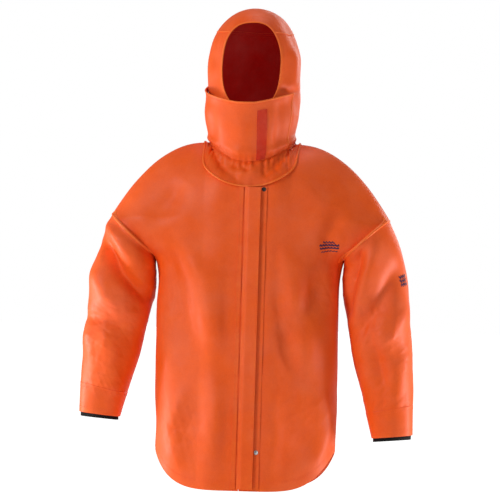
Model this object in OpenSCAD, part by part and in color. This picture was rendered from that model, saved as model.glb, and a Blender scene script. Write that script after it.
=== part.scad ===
// Foul weather jacket, hood up, standing as worn. Millimetres.
// Front faces -Y, +Z up. The origin is the middle of the neck at shoulder height.
// Left and right are as seen by someone standing in front of the jacket.

/* [Body] */
// Drop from the shoulder line to the hem at centre front
body_drop = 821; // [720:1:990]
// Half width of the body below the arms
body_half = 214; // [178:1:260]
// Depth of the front at the chest, from the side seam plane
chest_front = 117; // [100:1:145]
// Depth of the front at the hem
hem_front = 150; // [125:1:180]
// Depth of the back at its fullest
back_depth = 136; // [113:1:165]
// Rise of the hem at the side seams
hem_rise = 93; // [0:1:120]
// Height of the turned hem
hem_w = 24; // [12:1:40]

/* [Neck and shoulders] */
// Half width of the neckline at the shoulder seams
neck_half = 107; // [95:1:128]
// Drop of the neckline at centre front
neck_front_drop = 70; // [55:1:80]
// Drop of the neckline at centre back
neck_back_drop = 16; // [10:1:24]
// How far the dropped shoulder reaches beyond the body side
shoulder_over = 116; // [90:1:140]
// Drop of the shoulder tip below the neck point
tip_drop = 174; // [145:1:209]
// Height of the armhole, top to underarm
arm_open = 96; // [80:1:116]
// Half depth of the armhole
arm_depth = 92; // [76:1:110]

/* [Sleeves] */
// Drop of the cuff edge below the neck point, right sleeve
sleeve_drop = 686; // [570:1:823]
// How much higher the left cuff hangs, its cloth bunched at the elbow
left_bunch = 35; // [0:1:60]
// Reach of the cuff's outer edge beyond the shoulder tip
cuff_reach = 70; // [40:1:90]
// Width of the cuff seen from the front
cuff_w = 98; // [82:1:118]
// Half depth of the cuff
cuff_depth = 48; // [40:1:58]
// Length of the cuff band
cuff_len = 70; // [50:1:85]
// How far the inner cuff shows below the sleeve
inner_cuff_show = 9; // [2:1:14]
// Length of the inner cuff in all
inner_cuff_len = 62; // [40:1:75]
// Where the elbow lies along the sleeve, 0 at the armhole and 1 at the cuff
elbow_at = 0.46; // [0.38:0.01:0.55]

/* [Hood] */
// Height of the hood's top above the neck point
hood_top = 319; // [290:1:340]
// Half width of the hood at the ears
hood_half = 109; // [100:1:122]
// Depth of the hood in front of its middle
hood_front = 128; // [110:1:150]
// Depth of the hood behind its middle
hood_back = 116; // [98:1:139]
// Half width of the face opening
face_half = 70; // [58:1:80]
// Half height of the face opening
face_high = 105; // [90:1:112]
// Height of the face opening's middle
face_mid = 183; // [175:1:190]
// Width of the turned hem round the face opening
face_hem = 14; // [8:1:20]

/* [Collar] */
// Drop of the neck seam at centre front
collar_front_drop = 44; // [36:1:50]
// How far the collar skirt hangs at centre front
skirt_fall = 54; // [45:1:56]
// How far the collar skirt stands out at centre front
skirt_out = 24; // [20:1:29]
// Width of the chin flap's touch strip
strip_w = 22; // [18:1:26]

/* [Front closing] */
// Width of the storm flap
flap_w = 38; // [32:1:46]
// Where the storm flap is sewn, from the middle of the front
flap_root = -5; // [-12:1:-2]
// Width of the welt beside the storm flap
welt_w = 11; // [8:1:14]
// Width of the stud band under the storm flap
band_w = 46; // [40:1:55]
// Number of press studs under the storm flap
stud_count = 6; // [3:1:8]
// Radius of a press stud's cap
stud_r = 5; // [4:0.5:6]
// Radius of a press stud's post
post_r = 2; // [1.5:0.1:2.5]

/* [Cloth] */
// Thickness of the coated cloth
cloth = 1.5; // [1.2:0.1:2]
// Gap left between two sewn pieces
seam = 0.6; // [0.4:0.1:1]
// Clearance between pieces that move past each other
clear = 1; // [0.6:0.1:1.5]
// Clearance round a press stud's post
post_clear = 0.4; // [0.3:0.1:0.6]

/* [Hidden] */

orange = [0.89, 0.29, 0.13];
deep_orange = [0.78, 0.22, 0.10];
dark_red = [0.42, 0.06, 0.05];
black = [0.10, 0.07, 0.06];
steel = [0.70, 0.70, 0.72];
violet = [0.25, 0.13, 0.28];

tip_x = body_half + shoulder_over;
under_x = body_half + 11;
under_drop = tip_drop + arm_open;
stud_x = flap_root + 0.62 * flap_w;
studs_top = tip_drop - 4;
studs_gap = (body_drop - 91 - studs_top) / (stud_count - 1);
lift = 3.4 + cloth;

function lerp(a, b, t) = a + (b - a) * t;
function clip(x, a, b) = min(max(x, a), b);
function ease(t) = let (c = clip(t, 0, 1)) c * c * (3 - 2 * c);

// unit normal of a grid of points, w true where its columns close into a ring
function nrm(G, i, j, w) = let (n = len(G) - 1, m = len(G[0]) - 1,
  a = G[min(i + 1, n)][j] - G[max(i - 1, 0)][j],
  b = w ? G[i][(j + 1) % (m + 1)] - G[i][(j + m) % (m + 1)]
        : G[i][min(j + 1, m)] - G[i][max(j - 1, 0)],
  c = cross(a, b)) c / norm(c);
function offs(G, d, w) = [for (i = [0:len(G) - 1])
  [for (j = [0:len(G[0]) - 1]) G[i][j] + d * nrm(G, i, j, w)]];
function flat(L) = [for (r = L) for (p = r) p];

// closed sheet from offset d0 to offset d1 along a grid's normals
module sheet(G, d0, d1) {
  A = offs(G, d1, false);
  B = offs(G, d0, false);
  n = len(G) - 1;
  m = len(G[0]) - 1;
  N = (n + 1) * (m + 1);
  k = m + 1;
  polyhedron(points = concat(flat(A), flat(B)), faces = concat(
    [for (i = [0:n - 1]) for (j = [0:m - 1]) [i*k+j, i*k+j+1, (i+1)*k+j+1]],
    [for (i = [0:n - 1]) for (j = [0:m - 1]) [i*k+j, (i+1)*k+j+1, (i+1)*k+j]],
    [for (i = [0:n - 1]) for (j = [0:m - 1]) [N+i*k+j, N+(i+1)*k+j+1, N+i*k+j+1]],
    [for (i = [0:n - 1]) for (j = [0:m - 1]) [N+i*k+j, N+(i+1)*k+j, N+(i+1)*k+j+1]],
    [for (i = [0:n - 1]) [i*k, (i+1)*k, N+(i+1)*k]],
    [for (i = [0:n - 1]) [i*k, N+(i+1)*k, N+i*k]],
    [for (i = [0:n - 1]) [i*k+m, N+(i+1)*k+m, (i+1)*k+m]],
    [for (i = [0:n - 1]) [i*k+m, N+i*k+m, N+(i+1)*k+m]],
    [for (j = [0:m - 1]) [j, N+j+1, j+1]],
    [for (j = [0:m - 1]) [j, N+j, N+j+1]],
    [for (j = [0:m - 1]) [n*k+j, n*k+j+1, N+n*k+j+1]],
    [for (j = [0:m - 1]) [n*k+j, N+n*k+j+1, N+n*k+j]]), convexity = 6);
}

// closed tube wall from offset d0 to offset d1 along a ring grid's normals
module tube(G, d0, d1) {
  A = offs(G, d1, true);
  B = offs(G, d0, true);
  n = len(G) - 1;
  k = len(G[0]);
  N = (n + 1) * k;
  polyhedron(points = concat(flat(A), flat(B)), faces = concat(
    [for (i = [0:n - 1]) for (j = [0:k - 1]) [i*k+j, i*k+(j+1)%k, (i+1)*k+(j+1)%k]],
    [for (i = [0:n - 1]) for (j = [0:k - 1]) [i*k+j, (i+1)*k+(j+1)%k, (i+1)*k+j]],
    [for (i = [0:n - 1]) for (j = [0:k - 1]) [N+i*k+j, N+(i+1)*k+(j+1)%k, N+i*k+(j+1)%k]],
    [for (i = [0:n - 1]) for (j = [0:k - 1]) [N+i*k+j, N+(i+1)*k+j, N+(i+1)*k+(j+1)%k]],
    [for (j = [0:k - 1]) [j, N+(j+1)%k, (j+1)%k]],
    [for (j = [0:k - 1]) [j, N+j, N+(j+1)%k]],
    [for (j = [0:k - 1]) [n*k+j, n*k+(j+1)%k, N+n*k+(j+1)%k]],
    [for (j = [0:k - 1]) [n*k+j, N+n*k+(j+1)%k, N+n*k+j]]), convexity = 6);
}

// ---- body. v runs down the side: 0 neck point, 1 shoulder tip, 2 underarm, 3 hem
function side_x(v) = v < 1 ? lerp(neck_half, tip_x, v)
  : v < 2 ? (tip_x + under_x) / 2 + (tip_x - under_x) / 2 * cos(180 * (v - 1))
  : body_half + (under_x - body_half) * pow(max(0, 1 - (v - 2) * 6), 2);
function side_z(v) = v < 1 ? -tip_drop * pow(v, 2.1)
  : v < 2 ? -tip_drop - arm_open / 2 + arm_open / 2 * cos(180 * (v - 1))
  : lerp(-under_drop, hem_rise - body_drop, v - 2);
function side_y(v) = v > 1 && v < 2 ? arm_depth * sin(180 * (v - 1)) : 0;
function mid_z(v, top) = v < 1 ? lerp(-top, -tip_drop, v)
  : v < 2 ? side_z(v) : lerp(-under_drop, -body_drop, v - 2);
function full(v) = lerp(1.1, 0.8, ease(v - 0.4));
function front_y(z) = z > -100
  ? lerp(85, chest_front, sin(90 * clip((-z - neck_front_drop) / (100 - neck_front_drop), 0, 1)))
  : lerp(chest_front, hem_front, (-z - 100) / (body_drop - 100));
function back_y(z) = lerp(80, back_depth, sin(90 * clip((-z - neck_back_drop) / 210, 0, 1)));
function body_pt(v, a, D, top) = let (W = side_x(v), E = side_y(v), zc = mid_z(v, top),
  zs = side_z(v), s = sin(a), k = v < 2 ? s * s : pow(abs(s), 5))
  let (c = pow(cos(a), full(v))) [W * s, D * c + E * pow(1 - c, 2.2), lerp(zc, zs, k)];
function front_pt(v, a) = let (p = body_pt(v, a, front_y(mid_z(v, neck_front_drop)),
  neck_front_drop)) [p[0], -p[1] - seam / 2, p[2]];
function back_pt(v, a) = let (p = body_pt(v, a, back_y(mid_z(v, neck_back_drop)),
  neck_back_drop)) [p[0], p[1] + seam / 2, p[2]];
ROWS = concat([for (i = [0:7]) i / 7], [for (i = [1:6]) 1 + i / 6],
  [0.03, 0.07, 0.12, 0.18] + [2, 2, 2, 2], [for (i = [1:7]) 2.18 + 0.82 * i / 7]);
function a_of(x, v) = asin(clip(x / side_x(v), -1, 1));
function front_grid(rows, x0, cols) = [for (v = rows)
  [for (j = [0:cols]) front_pt(v, lerp(a_of(x0, v), 90, j / cols))]];
function back_grid(rows, cols) = [for (v = rows)
  [for (j = [0:cols]) back_pt(v, 90 - 180 * j / cols)]];
// v at which the middle of the front reaches height z
function v_mid(z) = 2 + (-z - under_drop) / (body_drop - under_drop);
HEM = [for (i = [0:2]) lerp(v_mid(-body_drop + hem_w), 2.998, i / 2)];
TAPE = [for (i = [0:7]) lerp(0.04, 0.94, i / 7)];
SIDE = [for (i = [0:7]) lerp(2.1, v_mid(-body_drop + hem_w) - 0.02, i / 7)];

module front_right_panel() {
  color(orange) sheet(front_grid(ROWS, 1, 12), -cloth, 0);
}
module front_left_panel() {
  mirror([1, 0, 0]) front_right_panel();
}
module back_panel() {
  color(orange) sheet(back_grid(ROWS, 22), -cloth, 0);
}
module seam_tape(rows, a0) {
  G = [for (v = rows) [for (j = [0:3])
    let (t = j / 3, f = t < 0.5) f ? front_pt(v, lerp(a0, 88, 2 * t)) : back_pt(v, lerp(88, a0, 2 * t - 1))]];
  sheet(G, -cloth - 3.4, -cloth - 2.4);
}
module shoulder_tapes() {
  color(dark_red) {
    seam_tape(TAPE, 80);
    mirror([1, 0, 0]) seam_tape(TAPE, 80);
  }
}
module side_tapes() {
  color(dark_red) {
    seam_tape(SIDE, 84);
    mirror([1, 0, 0]) seam_tape(SIDE, 84);
  }
}
// raised welded seam round an armhole, on the body side, as a front and a back half
module armhole_welt() {
  rows = [for (i = [0:6]) 1 + i / 6];
  color(deep_orange) {
    sheet([for (v = rows) [for (j = [0:2]) front_pt(v, 76 + 4 * j)]], 1.8, 3.4);
    sheet([for (v = [for (i = [0:6]) 1.04 + 0.92 * i / 6]) [for (j = [0:2]) back_pt(v, 84 - 4 * j)]],
      4.6, 6.2);
  }
}
module right_armhole_welt() {
  armhole_welt();
}
module left_armhole_welt() {
  mirror([1, 0, 0]) armhole_welt();
}
module front_right_hem() {
  color(deep_orange) sheet(front_grid(HEM, band_w + 6, 10), -2 * cloth - 0.9, -cloth - 0.9);
}
module front_left_hem() {
  G = front_grid(HEM, band_w + 6, 10);
  color(deep_orange) mirror([1, 0, 0]) sheet(G, -2 * cloth - 0.9, -cloth - 0.9);
}
module back_hem() {
  color(deep_orange) sheet([for (v = HEM) [for (j = [0:18]) back_pt(v, 84 - 168 * j / 18)]],
    -2 * cloth - 0.9, -cloth - 0.9);
}

// ---- front closing: strips that lie on the flat middle of the front
function flat_y(z) = -front_y(z) - seam / 2;
function strip_grid(x0, x1, z0, z1, d, n) = [for (i = [0:n]) let (z = lerp(z0, z1, i / n))
  [for (j = [0:2]) [lerp(x0, x1, j / 2), flat_y(z) - d, z]]];
strip_top = -collar_front_drop - skirt_fall - 4;
strip_end = -body_drop + 4;
module front_welt() {
  x1 = flap_root - cloth * 2;
  color(deep_orange) sheet(strip_grid(x1 - welt_w, x1, strip_top, strip_end, 0, 8), 0.4, 0.4 + cloth);
}
module stud_band() {
  color(orange) sheet(strip_grid(1.5, 1.5 + band_w, strip_top, strip_end, 0, 8), 0.4, 0.4 + cloth);
}
module front_facing() {
  color(dark_red) sheet(strip_grid(-34, 26, strip_top, strip_end, -cloth - 6, 8), -cloth, 0);
}
lean = atan((hem_front - chest_front) / (body_drop - 100));
module at_front(x, z, d) {
  translate([x, flat_y(z) - d, z]) rotate([90 - lean, 0, 0]) children();
}
module press_studs() {
  color(steel) for (i = [0:stud_count - 1])
    at_front(stud_x, -studs_top - i * studs_gap, 0.4 + cloth + 0.15) {
      cylinder(r = stud_r, h = 0.8, $fn = 32);
      cylinder(r = post_r, h = 2.4, $fn = 32);
    }
}
module stud_backs() {
  color(steel) for (i = [0:stud_count - 1])
    at_front(stud_x, -studs_top - i * studs_gap, -cloth - 2.4) cylinder(r = stud_r, h = 0.8, $fn = 32);
}
module cap(r) {
  rotate_extrude($fn = 32) polygon([[0, 0], [r, 0], [r, 0.5], [r * 0.8, 1.3], [r * 0.4, 1.7], [0, 1.8]]);
}
module top_snap() {
  color(black) at_front(flap_root + flap_w + 7, strip_top - stud_r - 1, 0.4 + cloth + 0.2) cap(stud_r);
}
module bottom_snap() {
  color(steel) at_front(flap_root + flap_w + 6.5, -body_drop + 92, 0.4 + cloth + 0.2) cap(stud_r);
}
module storm_flap() {
  G = strip_grid(flap_root, flap_root + flap_w, strip_top - clear, strip_end, lift, 8);
  color(orange) sheet(G, cloth + 0.3, 2 * cloth + 0.3);
}
module flap_lining() {
  G = strip_grid(flap_root, flap_root + flap_w - 2, strip_top - clear, strip_end, lift, 8);
  color(dark_red) sheet(G, 0, cloth);
}
module stud_sockets() {
  color(steel) for (i = [0:stud_count - 1])
    at_front(stud_x, -studs_top - i * studs_gap, lift - 1.75) difference() {
      cylinder(r = stud_r, h = 1.6, $fn = 32);
      translate([0, 0, -1]) cylinder(r = post_r + post_clear, h = 4, $fn = 32);
    }
}
badge_inset = 18;
module chest_badge() {
  G = [for (z = [-230 : -10 : -260]) let (v = z > -under_drop ? 1 + acos(clip((z + tip_drop + arm_open / 2)
    / (arm_open / 2), -1, 1)) / 180 : 2)
    [for (i = [-2 : 2]) front_pt(v, a_of(body_half - badge_inset + 11 * i, v))]];
  color(violet) sheet(G, 1.2, 1.7);
}

// ---- hood. f runs round it: 0 at the front, 90 at the right, 180 at the back
hood_low = 265;
hood_eye = 150;
function up(z) = clip((z - hood_eye) / (hood_top - hood_eye), 0, 1);
function hood_w(z) = lerp(neck_half - 7, hood_half, ease((z + 44) / 110)) * sqrt(1 - pow(up(z), 2.3));
function hood_f(z) = lerp(hood_front - 18, hood_front, ease((z + 44) / 130)) * sqrt(1 - pow(up(z), 4.6));
function hood_b(z) = lerp(hood_back - 40, hood_back, ease((z + 40) / 150)) * sqrt(1 - pow(up(z), 2.3));
hood_y = 10;
function neck_z(f) = let (c = cos(f)) c > 0 ? lerp(4, -collar_front_drop, c * c) : lerp(4, -6, c * c);
function hood_ring(z, f) = [hood_w(z) * sin(f), hood_y - (cos(f) > 0 ? hood_f(z) : hood_b(z)) * cos(f), z];
// w runs up the hood: 0 at the neck seam, 1 at the crown seam
function hood_pt(w, f) = let (z0 = lerp(-collar_front_drop, hood_low, w),
  z = z0 + (neck_z(f) + collar_front_drop) * pow(1 - w, 3), p = hood_ring(z0, f)) [p[0], p[1], z];
function face_x(z) = let (t = abs(z - face_mid) / face_high) t >= 1 ? 0
  : face_half * pow(1 - pow(t, 2.6), 1 / 2.6);
function face_f(z) = asin(clip(face_x(z) / hood_w(z), 0.012, 1));
face_w0 = (face_mid - face_high + collar_front_drop) / (hood_low + collar_front_drop);
HOOD_ROWS = concat([for (i = [0:9]) lerp(1, face_w0, i / 10)],
  [for (i = [0:6]) lerp(face_w0, 0, i / 6)]);
function z_of(w) = lerp(-collar_front_drop, hood_low, w);
function hood_side(rows, cols) = [for (w = rows) let (f0 = face_f(z_of(w)), f1 = 180 - asin(48 / hood_w(z_of(w))))
  [for (j = [0:cols]) hood_pt(w, lerp(f0, f1, j / cols))]];
module hood_right_panel() {
  color(orange) sheet(hood_side(HOOD_ROWS, 14), -cloth, 0);
}
module hood_left_panel() {
  mirror([1, 0, 0]) hood_right_panel();
}
module hood_back() {
  color(orange) sheet([for (w = [for (i = [0:10]) 1 - i / 10]) let (g = asin((48 - seam) / hood_w(z_of(w))))
    [for (j = [0:6]) hood_pt(w, 180 + lerp(-g, g, j / 6))]], -cloth, 0);
}
// domed crown, its front edge cut back over the face
crown_c = hood_w(hood_low) / hood_half;
function crown_z(r) = hood_eye + (hood_top - hood_eye) * pow(1 - pow(r * crown_c, 2), 1 / 2.3);
face_r = sqrt(1 - pow(up(face_mid + face_high), 2.3)) / crown_c;
face_u = face_x(hood_low) / hood_w(hood_low);
module hood_crown() {
  G = [for (i = [0:12]) let (v = 1 - i / 6) [for (j = [0:12]) let (u = 1 - j / 6,
    X = u * sqrt(1 - v * v / 2), Y0 = v * sqrt(1 - u * u / 2),
    cut = Y0 < 0 ? (1 - face_r) * max(0, 1 - pow(abs(X) / face_u, 2.6)) * abs(Y0) : 0,
    Y = Y0 * (1 - cut), r = min(1, norm([X, Y])), f = atan2(X, -Y))
    hood_ring(crown_z(r), f) + [0, 0, seam]]];
  color(orange) sheet(G, -cloth, 0);
}
module face_hem_side() {
  rows = [for (i = [0:9]) lerp(1, face_w0, i / 10)];
  G = [for (w = rows) let (f0 = face_f(z_of(w)), f1 = f0 + face_hem * 0.55)
    [for (j = [0:2]) hood_pt(w, lerp(f0, f1, j / 2))]];
  color(deep_orange) sheet(G, -2 * cloth - 1.2, -cloth - 1.2);
}
module face_hem_right() {
  face_hem_side();
}
module face_hem_left() {
  mirror([1, 0, 0]) face_hem_side();
}
module hood_touch_strip() {
  rows = [for (i = [0:4]) lerp(0.34, 0.04, i / 4)];
  color(deep_orange) sheet([for (w = rows) [for (j = [0:3]) hood_pt(w, lerp(10, 22, j / 3))]], 0.5, 1.3);
}

// ---- chin flap, sewn at the left of the hood and wrapped round the throat
function flap_top(f) = lerp(96, 118, pow(clip((f - 5) / 50, 0, 1), 1.2))
  + 34 * pow(clip(-(f + 15) / 72, 0, 1), 1.4);
function chin_pt(f, t) = let (z0 = lerp(-collar_front_drop, flap_top(f), t), w = (z0 + collar_front_drop)
  / (hood_low + collar_front_drop)) hood_pt(w, f);
chin_end = 56;
chin_start = -87;
module chin_sheet(f0, f1, t0, t1, n, m, d0, d1) {
  sheet([for (i = [0:n]) [for (j = [0:m]) let (f = lerp(f0, f1, j / m), r = 0.05 * pow(min(f, 0) / 87, 2))
    chin_pt(f, lerp(t1, t0 + r, i / n))]], d0, d1);
}
chin_lift = 4;
module chin_flap() {
  color(orange) chin_sheet(chin_start, chin_end, 0.012, 1, 8, 16, chin_lift, chin_lift + cloth);
}
strip_f0 = asin(18 / hood_half);
strip_f1 = asin((18 + strip_w) / hood_half);
module chin_flap_strip() {
  color(deep_orange) chin_sheet(strip_f0, strip_f1, 0.03, 0.86, 6, 3, chin_lift + cloth + 0.7,
    chin_lift + cloth + 1.8);
}
module chin_flap_hooks() {
  color(black) chin_sheet(strip_f0, strip_f1, 0.1, 0.7, 5, 3, chin_lift - 1.9, chin_lift - 0.9);
}

// ---- collar skirt, gathered on the neck seam and lying over the neckline
function skirt_pt(f, t) = let (c = cos(f), k = c > 0 ? c * c : 0, b = c < 0 ? c * c : 0,
  x = lerp(neck_half - 7, neck_half + 8, t) * sin(f),
  y = hood_y - (c > 0 ? hood_f(-collar_front_drop) + skirt_out * pow(t, 0.8)
    : hood_b(-collar_front_drop) + 12 * t) * c,
  z = neck_z(f) - clear - cloth - t * (skirt_fall * pow(k, 1.2) + 30 * b - (1 - k - b) * 2.6)) [x, y, z];
function skirt_ring(t) = [for (j = [0:35]) skirt_pt(j * 10, t)];
module collar_skirt() {
  color(orange) tube([for (t = [0, 0.25, 0.5, 0.75, 0.95]) skirt_ring(t)], 0, cloth);
}
module skirt_binding() {
  color(deep_orange) tube([for (t = [0.965, 1.03]) skirt_ring(t)], -0.3, cloth + 0.3);
}
module neck_elastic() {
  G = [for (t = [0, 1]) [for (j = [0:35]) let (f = j * 10) [(neck_half - 12) * sin(f),
    hood_y - (cos(f) > 0 ? hood_f(-collar_front_drop) - 5 : hood_b(-collar_front_drop) - 12) * cos(f),
    neck_z(f) - 3 - 8 * t]]];
  color(black) tube(G, -1.5, 0);
}
module hanging_loop() {
  color(dark_red) translate([0, 66, -26]) rotate([90, 0, 0]) translate([0, 0, -3]) linear_extrude(2)
    difference() {
      hull() for (s = [-1, 1]) translate([s * 28, 0]) circle(r = 9, $fn = 24);
      hull() for (s = [-1, 1]) translate([s * 28, 0]) circle(r = 5, $fn = 24);
    }
}

// ---- sleeves. s runs down them: 0 at the armhole, 1 at the cuff edge; d is the cuff's drop
cuff_tilt = 10;
function outer_pt(s, d) = let (z = lerp(-tip_drop, -d + cuff_tilt / 2, s))
  [tip_x + cuff_reach * (1 - exp((z + tip_drop) / 130)), 0, z];
function inner_pt(s, d) = let (z = lerp(-under_drop, -d - cuff_tilt / 2, s),
  x0 = lerp(under_x, body_half + 6, clip(s * 10, 0, 1)))
  [lerp(x0, tip_x + cuff_reach - cuff_w, pow(clip((s - 0.2) / 0.8, 0, 1), 1.05)), 0, z];
out_dir = [arm_open, 0, -(tip_x - under_x)] / norm([arm_open, 0, tip_x - under_x]);
function sleeve_ring(s, d, n) = let (o = outer_pt(s, d), i = inner_pt(s, d), c = (o + i) / 2,
  h = lerp(arm_depth, cuff_depth, pow(s, 1.3)), g = out_dir * clear * 2.6 * max(0, 1 - s * 6))
  [for (k = [0:n - 1]) c + g + (o - c) * cos(360 * k / n) + [0, h * sin(360 * k / n), 0]];
function sleeve_rings(s0, s1, m, d, n) = [for (i = [0:m]) sleeve_ring(lerp(s0, s1, i / m), d, n)];
function cuff_s(d, h) = 1 - h / (d - tip_drop);
module upper_sleeve(d) {
  color(orange) tube(sleeve_rings(0, elbow_at, 8, d, 24), -cloth, 0);
}
module lower_sleeve(d) {
  color(orange) tube(sleeve_rings(elbow_at + clear / (d - tip_drop), cuff_s(d, cuff_len) - 0.0015, 6, d, 24),
    -cloth, 0);
}
module cuff(d) {
  color(orange) tube(sleeve_rings(cuff_s(d, cuff_len), 1, 3, d, 24), -cloth, 0);
}
// the inner cuff's rows lie at the cuff's own rows, so the gap between the two stays even
module inner_cuff(d) {
  deep = inner_cuff_len - inner_cuff_show;
  rows = concat([deep], [for (k = [3 : -1 : 0]) if (cuff_len * k / 3 < deep - 2) cuff_len * k / 3],
    [-inner_cuff_show]);
  color(black) tube([for (h = rows) sleeve_ring(cuff_s(d, h), d, 24)], -2 * cloth - 1.2, -cloth - 1.2);
}
left_drop = sleeve_drop - left_bunch;
module right_upper_sleeve() {
  upper_sleeve(sleeve_drop);
}
module right_lower_sleeve() {
  lower_sleeve(sleeve_drop);
}
module right_cuff() {
  cuff(sleeve_drop);
}
module right_inner_cuff() {
  inner_cuff(sleeve_drop);
}
module left_upper_sleeve() {
  mirror([1, 0, 0]) upper_sleeve(left_drop);
}
module left_lower_sleeve() {
  mirror([1, 0, 0]) lower_sleeve(left_drop);
}
module left_cuff() {
  mirror([1, 0, 0]) cuff(left_drop);
}
module left_inner_cuff() {
  mirror([1, 0, 0]) inner_cuff(left_drop);
}
module sleeve_badge() {
  G = [for (i = [0:2]) let (s = 0.245 + 0.055 * i / 2, R = sleeve_ring(s, sleeve_drop, 72))
    [for (j = [66:2:70]) R[j]]];
  color(violet) sheet(G, 0.3, 0.8);
}

front_left_panel();
front_right_panel();
back_panel();
shoulder_tapes();
side_tapes();
left_armhole_welt();
right_armhole_welt();
front_left_hem();
front_right_hem();
back_hem();
front_welt();
stud_band();
front_facing();
press_studs();
stud_backs();
top_snap();
bottom_snap();
storm_flap();
flap_lining();
stud_sockets();
collar_skirt();
skirt_binding();
neck_elastic();
hanging_loop();
chest_badge();
hood_left_panel();
hood_right_panel();
hood_crown();
hood_back();
face_hem_left();
face_hem_right();
hood_touch_strip();
chin_flap();
chin_flap_strip();
chin_flap_hooks();
left_upper_sleeve();
left_lower_sleeve();
left_cuff();
left_inner_cuff();
right_upper_sleeve();
right_lower_sleeve();
right_cuff();
right_inner_cuff();
sleeve_badge();
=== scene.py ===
"""Foul weather jacket: the looks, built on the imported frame. Metres; front faces -Y."""

import math

import bpy
import numpy as np
from bpy.props import FloatProperty, FloatVectorProperty, IntProperty, PointerProperty
from mathutils import Matrix, Vector


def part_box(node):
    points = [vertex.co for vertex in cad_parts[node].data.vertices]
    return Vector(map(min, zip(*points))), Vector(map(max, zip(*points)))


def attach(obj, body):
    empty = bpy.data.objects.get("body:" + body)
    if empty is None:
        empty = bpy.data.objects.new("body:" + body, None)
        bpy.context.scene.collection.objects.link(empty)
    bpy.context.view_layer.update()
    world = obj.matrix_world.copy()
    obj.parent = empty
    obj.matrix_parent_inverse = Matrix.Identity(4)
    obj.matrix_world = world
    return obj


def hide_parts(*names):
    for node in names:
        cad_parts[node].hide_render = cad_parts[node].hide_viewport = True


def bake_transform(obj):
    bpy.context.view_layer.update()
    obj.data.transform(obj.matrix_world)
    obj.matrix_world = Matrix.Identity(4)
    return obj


bl_info = {
    "name": "Foul Weather Jacket",
    "version": (1, 0, 0),
    "blender": (4, 5, 0),
    "location": "View3D > Sidebar > Jacket",
    "description": "Cloth, seams and fittings of a hooded foul weather jacket",
    "category": "Object",
}

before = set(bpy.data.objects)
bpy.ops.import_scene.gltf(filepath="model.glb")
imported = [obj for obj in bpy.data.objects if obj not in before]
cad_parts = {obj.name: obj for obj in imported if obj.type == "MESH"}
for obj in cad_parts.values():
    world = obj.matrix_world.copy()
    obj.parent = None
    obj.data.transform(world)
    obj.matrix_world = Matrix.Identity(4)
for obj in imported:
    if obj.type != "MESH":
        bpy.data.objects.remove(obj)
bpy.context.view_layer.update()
MM = 0.001

# ---- sizes that the pieces share, in metres, read from the frame where it gives them
FRONT_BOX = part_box("front_right_panel")
LENGTH = -FRONT_BOX[0][2]
TIP_X = FRONT_BOX[1][0]
TIP_DROP = 0.174
ARM_OPEN = 0.096
ARM_DEPTH = 0.092
HALF = TIP_X - 0.116
UNDER_X = HALF + 0.011
UNDER = TIP_DROP + ARM_OPEN
NECK = 0.107
NECK_FRONT = 0.070
NECK_BACK = 0.016
HEM_RISE = 0.093
CHEST, HEM_FRONT, BACK_DEEP = 0.117, 0.150, 0.136
HOOD_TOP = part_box("hood_crown")[1][2] + 0.002
HOOD_HALF, HOOD_FRONT, HOOD_BACK = 0.109, 0.128, 0.116
HOOD_LOW, HOOD_EYE, HOOD_Y = 0.265, 0.150, 0.010
FACE_HALF, FACE_HIGH, FACE_MID = 0.070, 0.105, 0.183
COLLAR = 0.044
FACE_ROUND = 2.6  # 2 would be an ellipse, more is squarer
RIGHT_DROP = -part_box("right_cuff")[0][2] - 0.005
LEFT_DROP = -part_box("left_cuff")[0][2] - 0.005
CUFF_REACH, CUFF_W, CUFF_DEPTH, CUFF_LEN = 0.070, 0.098, 0.048, 0.070
FLAP_X0, FLAP_W, WELT_W, BAND_W = -0.005, 0.038, 0.011, 0.046


def lerp(a, b, t):
    return a + (b - a) * t


def ease(t):
    c = np.clip(t, 0, 1)
    return c * c * (3 - 2 * c)


def hill(x, x0, r):
    """Smooth hill of height 1 at x0 that falls off over r."""
    return np.exp(-(((x - x0) / r) ** 2))


# ---- the worn shape of the body. v runs down it: 0 neck, 1 shoulder tip, 2 underarm, 3 hem
def side_x(v):
    arm = (TIP_X + UNDER_X) / 2 + (TIP_X - UNDER_X) / 2 * np.cos(np.pi * (v - 1))
    low = HALF + (UNDER_X - HALF) * np.maximum(0, 1 - (v - 2) * 6) ** 2
    return np.where(v < 1, lerp(NECK, TIP_X, v), np.where(v < 2, arm, low))


def side_z(v):
    arm = -TIP_DROP - ARM_OPEN / 2 + ARM_OPEN / 2 * np.cos(np.pi * (v - 1))
    low = lerp(-UNDER, HEM_RISE - LENGTH, v - 2)
    return np.where(v < 1, -TIP_DROP * np.maximum(v, 0) ** 2.1, np.where(v < 2, arm, low))


def side_y(v):
    return np.where((v > 1) & (v < 2), ARM_DEPTH * np.sin(np.pi * (v - 1)), 0.0)


def mid_z(v, top):
    low = lerp(-UNDER, -LENGTH, v - 2)
    return np.where(v < 1, lerp(-top, -TIP_DROP, v), np.where(v < 2, side_z(v), low))


def front_y(z):
    t = np.clip((-z - NECK_FRONT) / (0.1 - NECK_FRONT), 0, 1)
    near = lerp(0.085, CHEST, np.sin(np.pi / 2 * t))
    return np.where(z > -0.1, near, lerp(CHEST, HEM_FRONT, (-z - 0.1) / (LENGTH - 0.1)))


def back_y(z):
    return lerp(0.080, BACK_DEEP, np.sin(np.pi / 2 * np.clip((-z - NECK_BACK) / 0.21, 0, 1)))


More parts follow.
